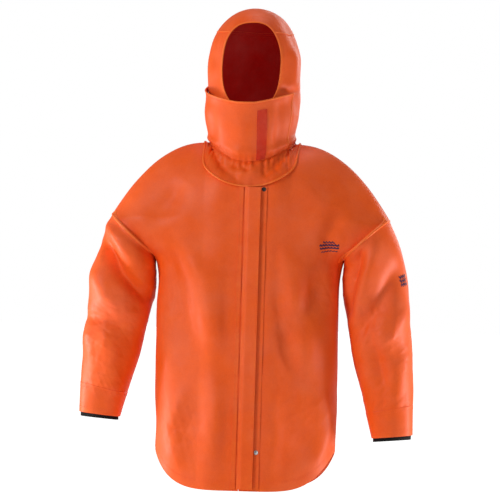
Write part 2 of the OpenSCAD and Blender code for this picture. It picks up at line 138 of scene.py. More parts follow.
def body_points(v, a, back):
    """Points of the worn body: a in radians from the middle (0) to the side seam (pi/2)."""
    top = NECK_BACK if back else NECK_FRONT
    zc, zs = mid_z(v, top), side_z(v)
    depth = back_y(zc) if back else front_y(zc)
    s = np.sin(a)
    k = np.where(v < 2, s * s, np.abs(s) ** 5)
    c = np.maximum(np.cos(a), 0) ** lerp(1.1, 0.8, ease(v - 0.4))
    y = depth * c + side_y(v) * (1 - c) ** 2.2 + 0.0003
    return np.stack([side_x(v) * s, y if back else -y, lerp(zc, zs, k)], -1)


# ---- the worn shape of the hood. f runs round it in radians: 0 front, pi/2 right, pi back
def rise(z):
    return np.clip((z - HOOD_EYE) / (HOOD_TOP - HOOD_EYE), 0, 1)


def hood_w(z):
    return lerp(NECK - 0.007, HOOD_HALF, ease((z + 0.044) / 0.11)) * np.sqrt(np.maximum(1 - rise(z) ** 2.9, 0))


def hood_f(z):
    return lerp(HOOD_FRONT - 0.018, HOOD_FRONT, ease((z + 0.044) / 0.13)) * np.sqrt(
        np.maximum(1 - rise(z) ** 4.6, 0))


def hood_b(z):
    return lerp(HOOD_BACK - 0.04, HOOD_BACK, ease((z + 0.04) / 0.15)) * np.sqrt(np.maximum(1 - rise(z) ** 2.3, 0))


def neck_z(f):
    c = np.cos(f)
    return lerp(0.004, np.where(c > 0, -COLLAR, -0.006), c * c)


def hood_points(z0, f):
    """Point of the hood at level z0; the lowest levels follow the neck seam."""
    w = (z0 + COLLAR) / (HOOD_LOW + COLLAR)
    z = z0 + (neck_z(f) + COLLAR) * np.clip(1 - w, 0, 1) ** 3
    c = np.cos(f)
    y = HOOD_Y - np.where(c > 0, hood_f(z0), hood_b(z0)) * c
    return np.stack([hood_w(z0) * np.sin(f), y, z], -1)


def face_f(z):
    """Angle of the face opening's edge at level z."""
    t = np.minimum(np.abs(z - FACE_MID) / FACE_HIGH, 1)
    x = FACE_HALF * (1 - t ** FACE_ROUND) ** (1 / FACE_ROUND)
    return np.arcsin(np.clip(x / np.maximum(hood_w(z), 1e-6), 0, 1))


# ---- the worn shape of a sleeve. s runs down it: 0 armhole, 1 cuff edge
OUT_DIR = np.array([ARM_OPEN, 0, -(TIP_X - UNDER_X)]) / math.hypot(ARM_OPEN, TIP_X - UNDER_X)


def sleeve_edges(s, drop):
    oz = lerp(-TIP_DROP, -drop + 0.005, s)
    ox = TIP_X + CUFF_REACH * (1 - np.exp((oz + TIP_DROP) / 0.13))
    iz = lerp(-UNDER, -drop - 0.005, s)
    x0 = lerp(UNDER_X, HALF + 0.006, np.clip(s * 10, 0, 1))
    ix = lerp(x0, TIP_X + CUFF_REACH - CUFF_W, np.clip((s - 0.2) / 0.8, 0, 1) ** 1.05)
    zero = np.zeros_like(s)
    return np.stack([ox, zero, oz], -1), np.stack([ix, zero, iz], -1)


def sleeve_points(s, t, drop):
    """Point of the right-hand sleeve: t in radians, 0 outside, pi/2 back, pi inside, 3pi/2 front."""
    o, i = sleeve_edges(s, drop)
    c = (o + i) / 2
    h = lerp(ARM_DEPTH, CUFF_DEPTH, s ** 1.3)
    p = c + (o - c) * np.cos(t)[..., None] + OUT_DIR * (0.0012 * np.maximum(0, 1 - s * 6))[..., None]
    full = lerp(1.0, 0.80, ease(s / 0.16))
    p[..., 1] += h * np.sign(np.sin(t)) * np.abs(np.sin(t)) ** full
    return p


# ---- cloth as point grids: rows run down, columns run round so that row x column points outward
def normals(grid, ring=False):
    du = np.gradient(grid, axis=0)
    if ring:
        dv = (np.roll(grid, -1, 1) - np.roll(grid, 1, 1)) / 2
    else:
        dv = np.gradient(grid, axis=1)
    n = np.cross(du, dv)
    return n / np.maximum(np.linalg.norm(n, axis=-1, keepdims=True), 1e-12)


def mesh_object(name, verts, faces, mats, mat_index=None, loop_normals=None, colours=None):
    me = bpy.data.meshes.new(name)
    me.from_pydata(verts.tolist(), [], faces.tolist() if hasattr(faces, "tolist") else faces)
    for m in mats:
        me.materials.append(m)
    if mat_index is not None:
        me.polygons.foreach_set("material_index", np.asarray(mat_index, np.int32))
    me.polygons.foreach_set("use_smooth", np.ones(len(me.polygons), bool))
    if colours is not None:
        att = me.color_attributes.new("edge_wear", "FLOAT_COLOR", "POINT")
        rgba = np.ones((len(verts), 4), np.float32)
        rgba[:, :3] = colours[:, None]
        att.data.foreach_set("color", rgba.ravel())
    me.update()
    if loop_normals is not None:
        me.normals_split_custom_set(loop_normals.tolist())
    ob = bpy.data.objects.new(name, me)
    bpy.context.scene.collection.objects.link(ob)
    return ob


def cloth(name, grid, mats, thick=0.0012, ring=False, nrm=None, wear=None, base=None):
    """A closed sheet of cloth with the grid as its outer face; mats are outer, inner and edge."""
    n, m = grid.shape[:2]
    nrm = normals(grid, ring) if nrm is None else nrm
    lift = 0 if base is None else base
    verts = np.concatenate([(grid + nrm * lift).reshape(-1, 3), (grid + nrm * (lift - thick)).reshape(-1, 3)])
    cols = m if ring else m - 1
    i, j = np.meshgrid(np.arange(n - 1), np.arange(cols), indexing="ij")
    a, b = i * m + j, i * m + (j + 1) % m
    c, d = (i + 1) * m + (j + 1) % m, (i + 1) * m + j
    outer = np.stack([a, d, c, b], -1).reshape(-1, 4)
    inner = outer[:, ::-1] + n * m
    rims = []
    top, low = np.arange(cols), (n - 1) * m + np.arange(cols)
    top1, low1 = (np.arange(cols) + 1) % m, (n - 1) * m + (np.arange(cols) + 1) % m
    rims.append(np.stack([top, top1, top1 + n * m, top + n * m], -1))
    rims.append(np.stack([low1, low, low + n * m, low1 + n * m], -1))
    if not ring:
        left, right = np.arange(n - 1) * m, np.arange(n - 1) * m + m - 1
        rims.append(np.stack([left + m, left, left + n * m, left + m + n * m], -1))
        rims.append(np.stack([right, right + m, right + m + n * m, right + n * m], -1))
    rim = np.concatenate(rims)
    faces = np.concatenate([outer, inner, rim])
    flat = nrm.reshape(-1, 3)
    pts = verts[rim]
    rn = np.cross(pts[:, 1] - pts[:, 0], pts[:, 3] - pts[:, 0])
    rn /= np.maximum(np.linalg.norm(rn, axis=-1, keepdims=True), 1e-12)
    loops = np.concatenate([flat[outer].reshape(-1, 3), -flat[inner - n * m].reshape(-1, 3), np.repeat(rn, 4, 0)])
    index = np.concatenate([np.zeros(len(outer)), np.ones(len(inner)), np.full(len(rim), min(2, len(mats) - 1))])
    colours = None if wear is None else np.concatenate([wear.ravel(), wear.ravel() * 0])
    return mesh_object(name, verts, faces, mats, index, loops, colours)


def tube_along(name, path, radius, mats, closed=False, sides=8, squash=1.0, up=None):
    """A cord-like bead swept along points, flattened by squash across `up`."""
    p = np.asarray(path, float)
    n = len(p)
    t = (np.roll(p, -1, 0) - np.roll(p, 1, 0)) if closed else np.gradient(p, axis=0)
    t /= np.maximum(np.linalg.norm(t, axis=1, keepdims=True), 1e-12)
    u = np.tile([0.0, 1.0, 0.0], (n, 1)) if up is None else np.asarray(up, float)
    u = u - t * np.sum(u * t, 1, keepdims=True)
    u /= np.maximum(np.linalg.norm(u, axis=1, keepdims=True), 1e-12)
    w = np.cross(t, u)
    ang = np.arange(sides) / sides * 2 * np.pi
    ring = (w[:, None] * np.cos(ang)[None, :, None] + u[:, None] * (np.sin(ang) * squash)[None, :, None]) * radius
    verts = (p[:, None] + ring).reshape(-1, 3)
    rows = n if closed else n - 1
    i, j = np.meshgrid(np.arange(rows), np.arange(sides), indexing="ij")
    i1, j1 = (i + 1) % n, (j + 1) % sides
    faces = np.stack([i * sides + j, i * sides + j1, i1 * sides + j1, i1 * sides + j], -1).reshape(-1, 4)
    faces = faces.tolist()
    if not closed:
        faces += [list(range(sides))[::-1], [(n - 1) * sides + k for k in range(sides)]]
    return mesh_object(name, verts, faces, mats)


def stitches(name, paths, mat, length=0.0030, gap=0.0016, radius=0.00032):
    """Thread stitches as short rounded dashes along paths of (points, normals)."""
    verts, faces = [], []
    shape = [(-1, 0.25), (-0.8, 0.8), (0, 1), (0.8, 0.8), (1, 0.25)]
    for pts, nrm in paths:
        pts, nrm = np.asarray(pts), np.asarray(nrm)
        arc = np.concatenate([[0], np.cumsum(np.linalg.norm(np.diff(pts, axis=0), axis=1))])
        at = np.arange(length, arc[-1] - length, length + gap)
        for s in at:
            p = np.array([np.interp(s, arc, pts[:, k]) for k in range(3)])
            q = np.array([np.interp(s + length * 0.4, arc, pts[:, k]) for k in range(3)])
            w = np.array([np.interp(s, arc, nrm[:, k]) for k in range(3)])
            t = q - p
            t /= max(np.linalg.norm(t), 1e-9)
            w -= t * w.dot(t)
            w /= max(np.linalg.norm(w), 1e-9)
            side = np.cross(t, w)
            base = len(verts)
            for x, r in shape:
                for k in range(5):
                    ang = 2 * math.pi * k / 5
                    verts.append(p + t * x * length / 2 + (side * math.cos(ang) + w * math.sin(ang)) * r * radius
                                 + w * radius * 0.55 * r)
            for r in range(4):
                for k in range(5):
                    a, b = base + r * 5 + k, base + r * 5 + (k + 1) % 5
                    faces.append([a, b, b + 5, a + 5])
            faces.append([base + k for k in range(5)][::-1])
            faces.append([base + 20 + k for k in range(5)])
    return mesh_object(name, np.array(verts), faces, [mat])


# ---- folds: soft ridges (+) and valleys (-) in millimetres, as lines across the front view
# each: points (x, z), height, reach to the left of the line's direction, reach to its right
TORSO_FOLDS = [
    ([(-150, -250), (-96, -330), (-62, -470)], 7.0, 34, 46),
    ([(-196, -250), (-150, -340), (-120, -470)], -3.2, 26, 26),
    ([(-232, -185), (-196, -150), (-165, -110)], -4.0, 26, 30),
    ([(-214, -330), (-196, -430), (-170, -560)], 3.0, 24, 26),
    ([(-150, -600), (-165, -680), (-150, -770)], 5.0, 24, 34),
    ([(-60, -560), (-52, -660), (-60, -760)], 2.4, 30, 34),
    ([(66, -350), (92, -450), (132, -560)], -4.6, 24, 26),
    ([(112, -320), (140, -420), (150, -540)], 4.2, 30, 24),
    ([(206, -250), (170, -340), (120, -440)], -5.0, 28, 26),
    ([(92, -250), (112, -340), (118, -400)], 3.4, 26, 20),
    ([(210, -215), (190, -300), (196, -380)], 4.0, 18, 22),
    ([(214, -170), (196, -220), (200, -270)], -6.0, 22, 20),
    ([(190, -600), (196, -680), (170, -760)], 4.6, 20, 26),
    ([(96, -640), (140, -700), (176, -735)], -3.6, 26, 26),
    ([(60, -560), (74, -680), (66, -770)], 2.2, 26, 30),
    ([(128, -80), (160, -120), (205, -150)], 2.2, 20, 26),
]
BACK_FOLDS = [
    ([(-205, -240), (-120, -330), (-40, -420)], -5.0, 30, 34),
    ([(205, -240), (120, -330), (40, -420)], -5.0, 34, 30),
    ([(-150, -200), (-70, -260), (0, -280)], 4.0, 30, 34),
    ([(150, -210), (80, -270), (0, -300)], 4.0, 34, 30),
    ([(-120, -420), (-100, -560), (-120, -720)], 5.0, 34, 34),
    ([(20, -420), (0, -560), (10, -740)], -4.0, 40, 40),
    ([(130, -440), (110, -580), (140, -730)], 5.0, 34, 34),
    ([(0, -60), (0, -140), (0, -200)], -2.5, 60, 60),
]
LEFT_SLEEVE_FOLDS = [
    ([(-352, -235), (-300, -315), (-236, -372)], -17.0, 20, 16),
    ([(-338, -200), (-290, -255), (-240, -300)], 6.5, 24, 22),
    ([(-374, -300), (-330, -370), (-262, -420)], 8.0, 26, 26),
    ([(-402, -418), (-360, -424), (-300, -436)], -5.0, 14, 16),
    ([(-390, -470), (-350, -480), (-300, -476)], 3.4, 22, 26),
    ([(-330, -440), (-318, -520), (-312, -600)], 4.6, 22, 20),
    ([(-392, -500), (-380, -560), (-376, -630)], -2.6, 18, 20),
]
RIGHT_SLEEVE_FOLDS = [
    ([(268, -250), (246, -330), (226, -420)], -15.0, 22, 26),
    ([(300, -250), (262, -340), (236, -420)], 6.0, 22, 20),
    ([(356, -290), (316, -380), (262, -440)], -10.0, 22, 22),
    ([(376, -380), (340, -450), (290, -492)], 6.5, 24, 26),
    ([(300, -452), (316, -500), (330, -560)], -7.0, 18, 22),
    ([(386, -470), (366, -540), (350, -640)], 4.0, 20, 26),
    ([(340, -590), (334, -650), (338, -690)], -2.4, 18, 18),
]
HOOD_FOLDS = [
    ([(98, 226), (97, 180), (96, 128)], 3.4, 7, 9),
    ([(74, 132), (90, 128), (106, 130)], -3.0, 8, 10),
    ([(70, 292), (92, 262), (104, 222)], -3.0, 12, 14),
    ([(-94, 262), (-102, 200), (-98, 140)], 2.6, 12, 12),
    ([(-86, 160), (-92, 120), (-104, 100)], -2.6, 12, 14),
    ([(84, 118), (98, 70), (92, 10)], 3.0, 12, 14),
    ([(104, 96), (108, 50), (100, 0)], -2.4, 10, 10),
]
SKIRT_FOLDS = [
    ([(-34, -48), (-26, -62), (-30, -84)], -3.4, 6, 8),
    ([(-22, -46), (-10, -60), (2, -66)], -3.0, 5, 7),
    ([(4, -50), (14, -60), (12, -76)], 2.6, 7, 7),
    ([(40, -48), (36, -62), (44, -78)], -3.0, 6, 6),
    ([(62, -42), (60, -56), (70, -66)], -2.8, 6, 6),
    ([(-72, -40), (-66, -54), (-54, -66)], -2.6, 7, 7),
    ([(-96, -36), (-90, -46), (-78, -54)], 2.0, 7, 7),
    ([(84, -36), (86, -46), (92, -52)], -2.4, 6, 6),
]
CHIN_FOLDS = [
    ([(-96, 96), (-100, 50), (-96, 0)], 3.2, 10, 12),
    ([(-80, 90), (-82, 40), (-84, 6)], -1.6, 12, 12),
    ([(66, 96), (70, 40), (62, -6)], -3.4, 12, 14),
    ([(54, 84), (48, 30), (50, -16)], 2.4, 10, 12),
    ([(-20, 50), (-18, 10), (-26, -20)], 1.4, 20, 22),
    ([(-70, -2), (-60, -10), (-44, -22)], -2.4, 8, 9),
]


def fold_field(x, z, folds):
    """Height in metres that the fold lines give at (x, z)."""
    out = np.zeros_like(x)
    for pts, high, left, right in folds:
        p = np.array(pts, float) * MM
        cuts = np.linalg.norm(np.diff(p, axis=0), axis=1)
        start = np.concatenate([[0], np.cumsum(cuts)])
        best = np.full(x.shape, 1e9)
        signed, along = np.zeros_like(x), np.zeros_like(x)
        for k in range(len(p) - 1):
            d = p[k + 1] - p[k]
            ux, uz = x - p[k][0], z - p[k][1]
            t = (ux * d[0] + uz * d[1]) / d.dot(d)
            lo = -0.5 if k == 0 else 0.0
            hi = 1.5 if k == len(p) - 2 else 1.0
            tc = np.clip(t, lo, hi)
            qx, qz = ux - d[0] * tc, uz - d[1] * tc
            dist = np.hypot(qx, qz)
            near = dist < best
            best = np.where(near, dist, best)
            signed = np.where(near, np.sign(d[0] * qz - d[1] * qx), signed)
            along = np.where(near, (start[k] + tc * cuts[k]) / start[-1], along)
        reach = np.where(signed > 0, left, right) * MM
        end = np.clip((along + 0.3) / 0.55, 0, 1) * np.clip((1.3 - along) / 0.55, 0, 1)
        out += high * MM * np.exp(-((best / reach) ** 2)) * ease(end)
    return out


def crumple(p, seed=3, waves=26, low=0.07, high=0.30, amp=0.0014):
    """Smooth seeded unevenness of stiff cloth, continuous through space."""
    rng = np.random.default_rng(seed)
    out = np.zeros(p.shape[:-1])
    for _ in range(waves):
        length = low * (high / low) ** rng.random()
        d = rng.normal(size=3)
        d /= np.linalg.norm(d)
        phase = rng.random() * 6.28
        out += length / high * np.sin(p @ d * (2 * math.pi / length) + phase)
    return out * amp / math.sqrt(waves / 8)


def creases(p, seed, amount, spots, reach=0.05):
    """Short sharp wrinkles gathered round some spots."""
    rng = np.random.default_rng(seed)
    out = np.zeros(p.shape[:-1])
    for cx, cz, size in spots:
        mask = np.exp(-(((p[..., 0] - cx) ** 2 + (p[..., 2] - cz) ** 2) / (size * size)))
        for _ in range(5):
            a = rng.uniform(0, math.pi)
            d = np.array([math.cos(a), rng.uniform(-0.5, 0.5), math.sin(a)])
            wave = np.sin(p @ d * (2 * math.pi / rng.uniform(reach * 0.5, reach * 1.3)) + rng.uniform(0, 6.28))
            out += mask * (1 - np.abs(wave)) ** 2 * rng.choice([-1, 1]) * 0.4
    return out * amount


SETTINGS = {"fold": 1.0}


def softened(back):
    """The body on an even lattice, its creases across the armholes eased away from the side edge."""
    v = np.linspace(0, 3, 1500)
    edge = np.stack([side_x(v), side_y(v), side_z(v)], -1)
    run = np.concatenate([[0], np.cumsum(np.linalg.norm(np.diff(edge, axis=0), axis=1))])
    rows = np.interp(np.linspace(0, run[-1], 420), run, v)
    cols = np.linspace(0, math.pi / 2, 120)
    vv, aa = np.meshgrid(rows, cols, indexing="ij")
    p = body_points(vv, aa, back)
    rate = (0.46 * (1 - ease((cols - 1.30) / 0.25)))[None, :, None]
    for _ in range(130):
        p[1:-1] += rate * (p[:-2] - 2 * p[1:-1] + p[2:])
    if not back:
        flat = ease(1 - (p[..., 0] - 0.046) / 0.06) * ease((vv - 0.02) / 0.2)
        p[..., 1] = lerp(p[..., 1], p[:, :1, 1], flat)
    return rows, p


SOFT_BODY = {False: softened(False), True: softened(True)}


def cubic(f):
    """Catmull-Rom weights of the four neighbours at fraction f."""
    return np.stack([-0.5 * f ** 3 + f * f - 0.5 * f, 1.5 * f ** 3 - 2.5 * f * f + 1,
                     -1.5 * f ** 3 + 2 * f * f + 0.5 * f, 0.5 * f ** 3 - 0.5 * f * f])


def soft_points(v, a, back):
    rows, p = SOFT_BODY[back]
    n, m = p.shape[:2]
    i = np.clip(np.interp(v, rows, np.arange(n)), 0, n - 1)
    j = np.clip(a / (math.pi / 2) * (m - 1), 0, m - 1)
    i0, j0 = np.minimum(i.astype(int), n - 2), np.minimum(j.astype(int), m - 2)
    wi, wj = cubic(i - i0), cubic(j - j0)
    out = np.zeros(v.shape + (3,))
    for k in range(4):
        ii = np.clip(i0 + k - 1, 0, n - 1)
        for q in range(4):
            jj = j0 + q - 1
            mirror = np.where(jj < 0, -1.0, 1.0)
            c = p[ii, np.clip(np.abs(jj), 0, m - 1)]
            c = np.stack([c[..., 0] * mirror, c[..., 1], c[..., 2]], -1)
            out += (wi[k] * wj[q])[..., None] * c
    edge = ease((a - 1.5) / 0.05)[..., None]
    return lerp(out, body_points(v, a, back), edge)


def body_skin(v, a, back=False):
    """The worn body with its folds. a runs from -pi/2 (left) through 0 (middle) to pi/2 (right)."""
    v, a = np.broadcast_arrays(np.asarray(v, float), np.asarray(a, float))
    h = 4e-3

    def base(v_, a_):
        p = soft_points(v_, np.abs(a_), back)
        p[..., 0] *= np.where(a_ < 0, -1, 1)
        return p

    p = base(v, a)
    va = np.clip(a, -math.pi / 2 + 2 * h, math.pi / 2 - 2 * h)
    du = base(v + h, va) - base(v - h, va)
    dv = base(v, va + h) - base(v, va - h)
    n = np.cross(du, dv) * (-1 if back else 1)
    n /= np.maximum(np.linalg.norm(n, axis=-1, keepdims=True), 1e-12)
    x, z = p[..., 0], p[..., 2]
    folds = fold_field(x, z, BACK_FOLDS if back else TORSO_FOLDS)
    edge = ease(np.clip((math.pi / 2 - np.abs(a)) / 0.16, 0, 1))
    flat = 1 - (0 if back else 1) * ease((0.075 - np.abs(x - 0.014)) / 0.036)
    top = ease(np.clip(v / 0.25, 0, 1))
    spots = [(0.215, -0.26, 0.05), (-0.215, -0.27, 0.05), (0.19, -0.35, 0.05), (-0.17, -0.40, 0.06),
             (0.15, -0.62, 0.07), (-0.14, -0.68, 0.07), (0.10, -0.45, 0.06)]
    rough = crumple(p, 3) + creases(p, 11, 0.0016, spots, 0.09)
    seam = ease(np.clip((math.pi / 2 - np.abs(a)) / 0.05, 0, 1))
    d = (folds * (3.0 if back else 2.1) * edge + rough * (0.35 + 0.65 * seam)) * flat * top * SETTINGS["fold"]
    near = ease((v - 0.75) / 0.25) * ease((2.35 - v) / 0.3)
    arm = lerp(1, ease(np.clip((math.pi / 2 - np.abs(a)) / 0.14, 0, 1)), near)
    low = 1 - 0.6 * ease(np.clip((v - 2.9) / 0.1, 0, 1))
    return p + n * (d * arm * low)[..., None]


def sleeve_skin(s, t, drop, left, seed=21):
    """A sleeve with its folds; t as in sleeve_points for the right, mirrored for the left."""
    s, t = np.broadcast_arrays(np.asarray(s, float), np.asarray(t, float))
    p = sleeve_points(s, t, drop)
    n = normals(p, True) if p.ndim == 3 and p.shape[1] > 8 else None
    q = p * np.array([-1, 1, 1]) if left else p
    x, z = q[..., 0], q[..., 2]
    folds = fold_field(x, z, LEFT_SLEEVE_FOLDS if left else RIGHT_SLEEVE_FOLDS)
    front = ease(0.5 - 0.75 * np.sin(t) * 1.0)
    rear = -0.5 * ease(0.5 + 0.75 * np.sin(t))
    side = -1 if left else 1
    spots = [(side * 0.315, -0.43, 0.06), (side * 0.28, -0.38, 0.05), (side * 0.34, -0.50, 0.05),
             (side * 0.25, -0.30, 0.04), (side * 0.33, -0.60, 0.05)]
    rough = crumple(q, 3) + creases(q, seed + int(left), 0.0024, spots, 0.07)
    fade = ease(np.clip((s - 0.004) / 0.05, 0, 1))
    end = 1 - 0.75 * ease(np.clip((s - 0.84) / 0.06, 0, 1))
    d = (folds * 1.75 * (front + rear) + rough) * fade * end * SETTINGS["fold"]
    return p + n * d[..., None]


def gather(f, seed=5):
    """Uneven gathers round the neck, about one every 16 mm."""
    rng = np.random.default_rng(seed)
    out = np.zeros_like(f)
    for k in (17, 23, 29, 38, 47):
        out += rng.uniform(0.5, 1) * np.sin(k * f + rng.uniform(0, 6.28) + 0.8 * np.sin(3 * f + rng.uniform(0, 6.28)))
    return out / 3


def hood_skin(z0, f, chin=False):
    """The hood, or the chin flap's lie over it, with its folds."""
    z0, f = np.broadcast_arrays(np.asarray(z0, float), np.asarray(f, float))
    h = 1e-4
    p = hood_points(z0, f)
    zc = np.clip(z0, -COLLAR + h, HOOD_TOP - 2 * h)
    du = hood_points(zc - h, f) - hood_points(zc + h, f)
    dv = hood_points(zc, f + h) - hood_points(zc, f - h)
    n = np.cross(du, dv)
    n /= np.maximum(np.linalg.norm(n, axis=-1, keepdims=True), 1e-12)
    x, z = p[..., 0], p[..., 2]
    gate = ease(0.55 + 1.2 * np.cos(f))
    folds = fold_field(x, z, CHIN_FOLDS if chin else HOOD_FOLDS) * gate * 1.6
    rough = crumple(p, 9, 22, 0.05, 0.16, 0.0011)
    low = np.clip(1 - (z0 + COLLAR) / 0.034, 0, 1)
    pucker = gather(f) * 0.0022 * low ** 1.2 + 0.004 * hill(z0 + COLLAR, 0.020, 0.012)
    quiet = 1 - 0.85 * ease(np.clip((z0 - 0.285) / 0.03, 0, 1))
    d = (folds + rough * (1 - low)) * quiet * SETTINGS["fold"] + pucker
    return p + n * d[..., None], n


# ---- shaders: shared effects as node groups, each built once
def new_group(name, inputs, outputs):
    g = bpy.data.node_groups.new(name, "ShaderNodeTree")
    for n, kind, default in inputs:
        sock = g.interface.new_socket(n, in_out="INPUT", socket_type=kind)
        if default is not None:
            sock.default_value = default
    for n, kind in outputs:
        g.interface.new_socket(n, in_out="OUTPUT", socket_type=kind)
    return g, g.nodes.new("NodeGroupInput"), g.nodes.new("NodeGroupOutput")


def node(tree, kind, **props):
    n = tree.nodes.new(kind)
    for k, v in props.items():
        if k in ("operation", "data_type", "blend_type", "noise_dimensions", "feature", "wave_type",
                 "bands_direction", "attribute_name", "interpolation_type", "layer_name"):
            setattr(n, k, v)
        else:
            n.inputs[k].default_value = v
    return n


def grain_group():
    """Fine leathery grain of a coated surface: height, and a soft mottle mask."""
    g, i, o = new_group("coat_grain", [("Vector", "NodeSocketVector", None), ("Fineness", "NodeSocketFloat", 900.0)],
                        [("Height", "NodeSocketFloat"), ("Mottle", "NodeSocketFloat")])
    fine = node(g, "ShaderNodeTexNoise", Detail=4.0, Roughness=0.62)
    cell = node(g, "ShaderNodeTexVoronoi", feature="SMOOTH_F1", Smoothness=0.6)
    big = node(g, "ShaderNodeTexNoise", Scale=26.0, Detail=5.0, Roughness=0.6)
    pebble = node(g, "ShaderNodeTexNoise", Scale=330.0, Detail=3.0, Roughness=0.7)
    speckle = node(g, "ShaderNodeMath", operation="MULTIPLY_ADD")
    speckle.inputs[1].default_value = 1.1
    drop = node(g, "ShaderNodeMath", operation="SUBTRACT")
    drop.inputs[1].default_value = 0.55
    add = node(g, "ShaderNodeMath", operation="MULTIPLY_ADD")
    add.inputs[1].default_value = 0.55
    g.links.new(i.outputs["Vector"], fine.inputs["Vector"])
    g.links.new(i.outputs["Vector"], cell.inputs["Vector"])
    g.links.new(i.outputs["Vector"], big.inputs["Vector"])
    g.links.new(i.outputs["Fineness"], fine.inputs["Scale"])
    g.links.new(i.outputs["Fineness"], cell.inputs["Scale"])
    g.links.new(cell.outputs["Distance"], add.inputs[0])
    g.links.new(fine.outputs["Fac"], add.inputs[2])
    g.links.new(add.outputs[0], o.inputs["Height"])
    g.links.new(i.outputs["Vector"], pebble.inputs["Vector"])
    g.links.new(pebble.outputs["Fac"], speckle.inputs[0])
    g.links.new(big.outputs["Fac"], speckle.inputs[2])
    g.links.new(speckle.outputs[0], drop.inputs[0])
    g.links.new(drop.outputs[0], o.inputs["Mottle"])
    return g


def weave_group():
    """Plain weave as two crossing waves: height, and a thread mask."""
    g, i, o = new_group("plain_weave", [("Vector", "NodeSocketVector", None), ("Threads", "NodeSocketFloat", 420.0)],
                        [("Height", "NodeSocketFloat"), ("Thread", "NodeSocketFloat")])
    waves = []
    for direction in ("X", "Z"):
        w = node(g, "ShaderNodeTexWave", wave_type="BANDS", bands_direction=direction, Distortion=1.2, Detail=1.0)
        w.inputs["Detail Scale"].default_value = 3.0
        g.links.new(i.outputs["Vector"], w.inputs["Vector"])
        g.links.new(i.outputs["Threads"], w.inputs["Scale"])
        waves.append(w)
    mul = node(g, "ShaderNodeMath", operation="MULTIPLY")
    add = node(g, "ShaderNodeMath", operation="ADD")
    for k, w in enumerate(waves):
        g.links.new(w.outputs["Fac"], mul.inputs[k])
        g.links.new(w.outputs["Fac"], add.inputs[k])
    g.links.new(add.outputs[0], o.inputs["Height"])
    g.links.new(mul.outputs[0], o.inputs["Thread"])
    return g


def wear_group():
    """Rubbed edges and faint dust: a mask that follows the edge_wear attribute, broken up by noise."""
    g, i, o = new_group("rubbed_wear", [("Vector", "NodeSocketVector", None), ("Edge", "NodeSocketFloat", 0.0)],
                        [("Rub", "NodeSocketFloat"), ("Dust", "NodeSocketFloat")])
    spots = node(g, "ShaderNodeTexNoise", Scale=70.0, Detail=6.0, Roughness=0.7)
    dust = node(g, "ShaderNodeTexNoise", Scale=9.0, Detail=7.0, Roughness=0.62)
    g.links.new(i.outputs["Vector"], spots.inputs["Vector"])
    g.links.new(i.outputs["Vector"], dust.inputs["Vector"])
    cut = node(g, "ShaderNodeMapRange")
    cut.inputs["From Min"].default_value = 0.42
    cut.inputs["From Max"].default_value = 0.68
    g.links.new(spots.outputs["Fac"], cut.inputs["Value"])
    mul = node(g, "ShaderNodeMath", operation="MULTIPLY")
    g.links.new(cut.outputs["Result"], mul.inputs[0])
    g.links.new(i.outputs["Edge"], mul.inputs[1])
    fade = node(g, "ShaderNodeMapRange")
    fade.inputs["From Min"].default_value = 0.40
    fade.inputs["From Max"].default_value = 0.75
    g.links.new(dust.outputs["Fac"], fade.inputs["Value"])
    g.links.new(mul.outputs[0], o.inputs["Rub"])
    g.links.new(fade.outputs["Result"], o.inputs["Dust"])
    return g


GROUPS = {}
MATS = {}


def use_group(tree, name, vector, **values):
    n = tree.nodes.new("ShaderNodeGroup")
    n.node_tree = GROUPS[name]
    tree.links.new(vector, n.inputs["Vector"])
    for k, v in values.items():
        n.inputs[k].default_value = v
    return n


def mix_colour(tree, fac, a, b):
    n = node(tree, "ShaderNodeMix", data_type="RGBA")
    for sock, value in ((n.inputs["Factor"], fac), (n.inputs[6], a), (n.inputs[7], b)):
        if hasattr(value, "is_output"):
            tree.links.new(value, sock)
        else:
            sock.default_value = value if isinstance(value, float) else (*value, 1.0)
    return n.outputs[2]


def scaled(tree, value, low, high):
    n = node(tree, "ShaderNodeMapRange")
    n.inputs["To Min"].default_value = low
    n.inputs["To Max"].default_value = high
    tree.links.new(value, n.inputs["Value"])
    return n.outputs["Result"]


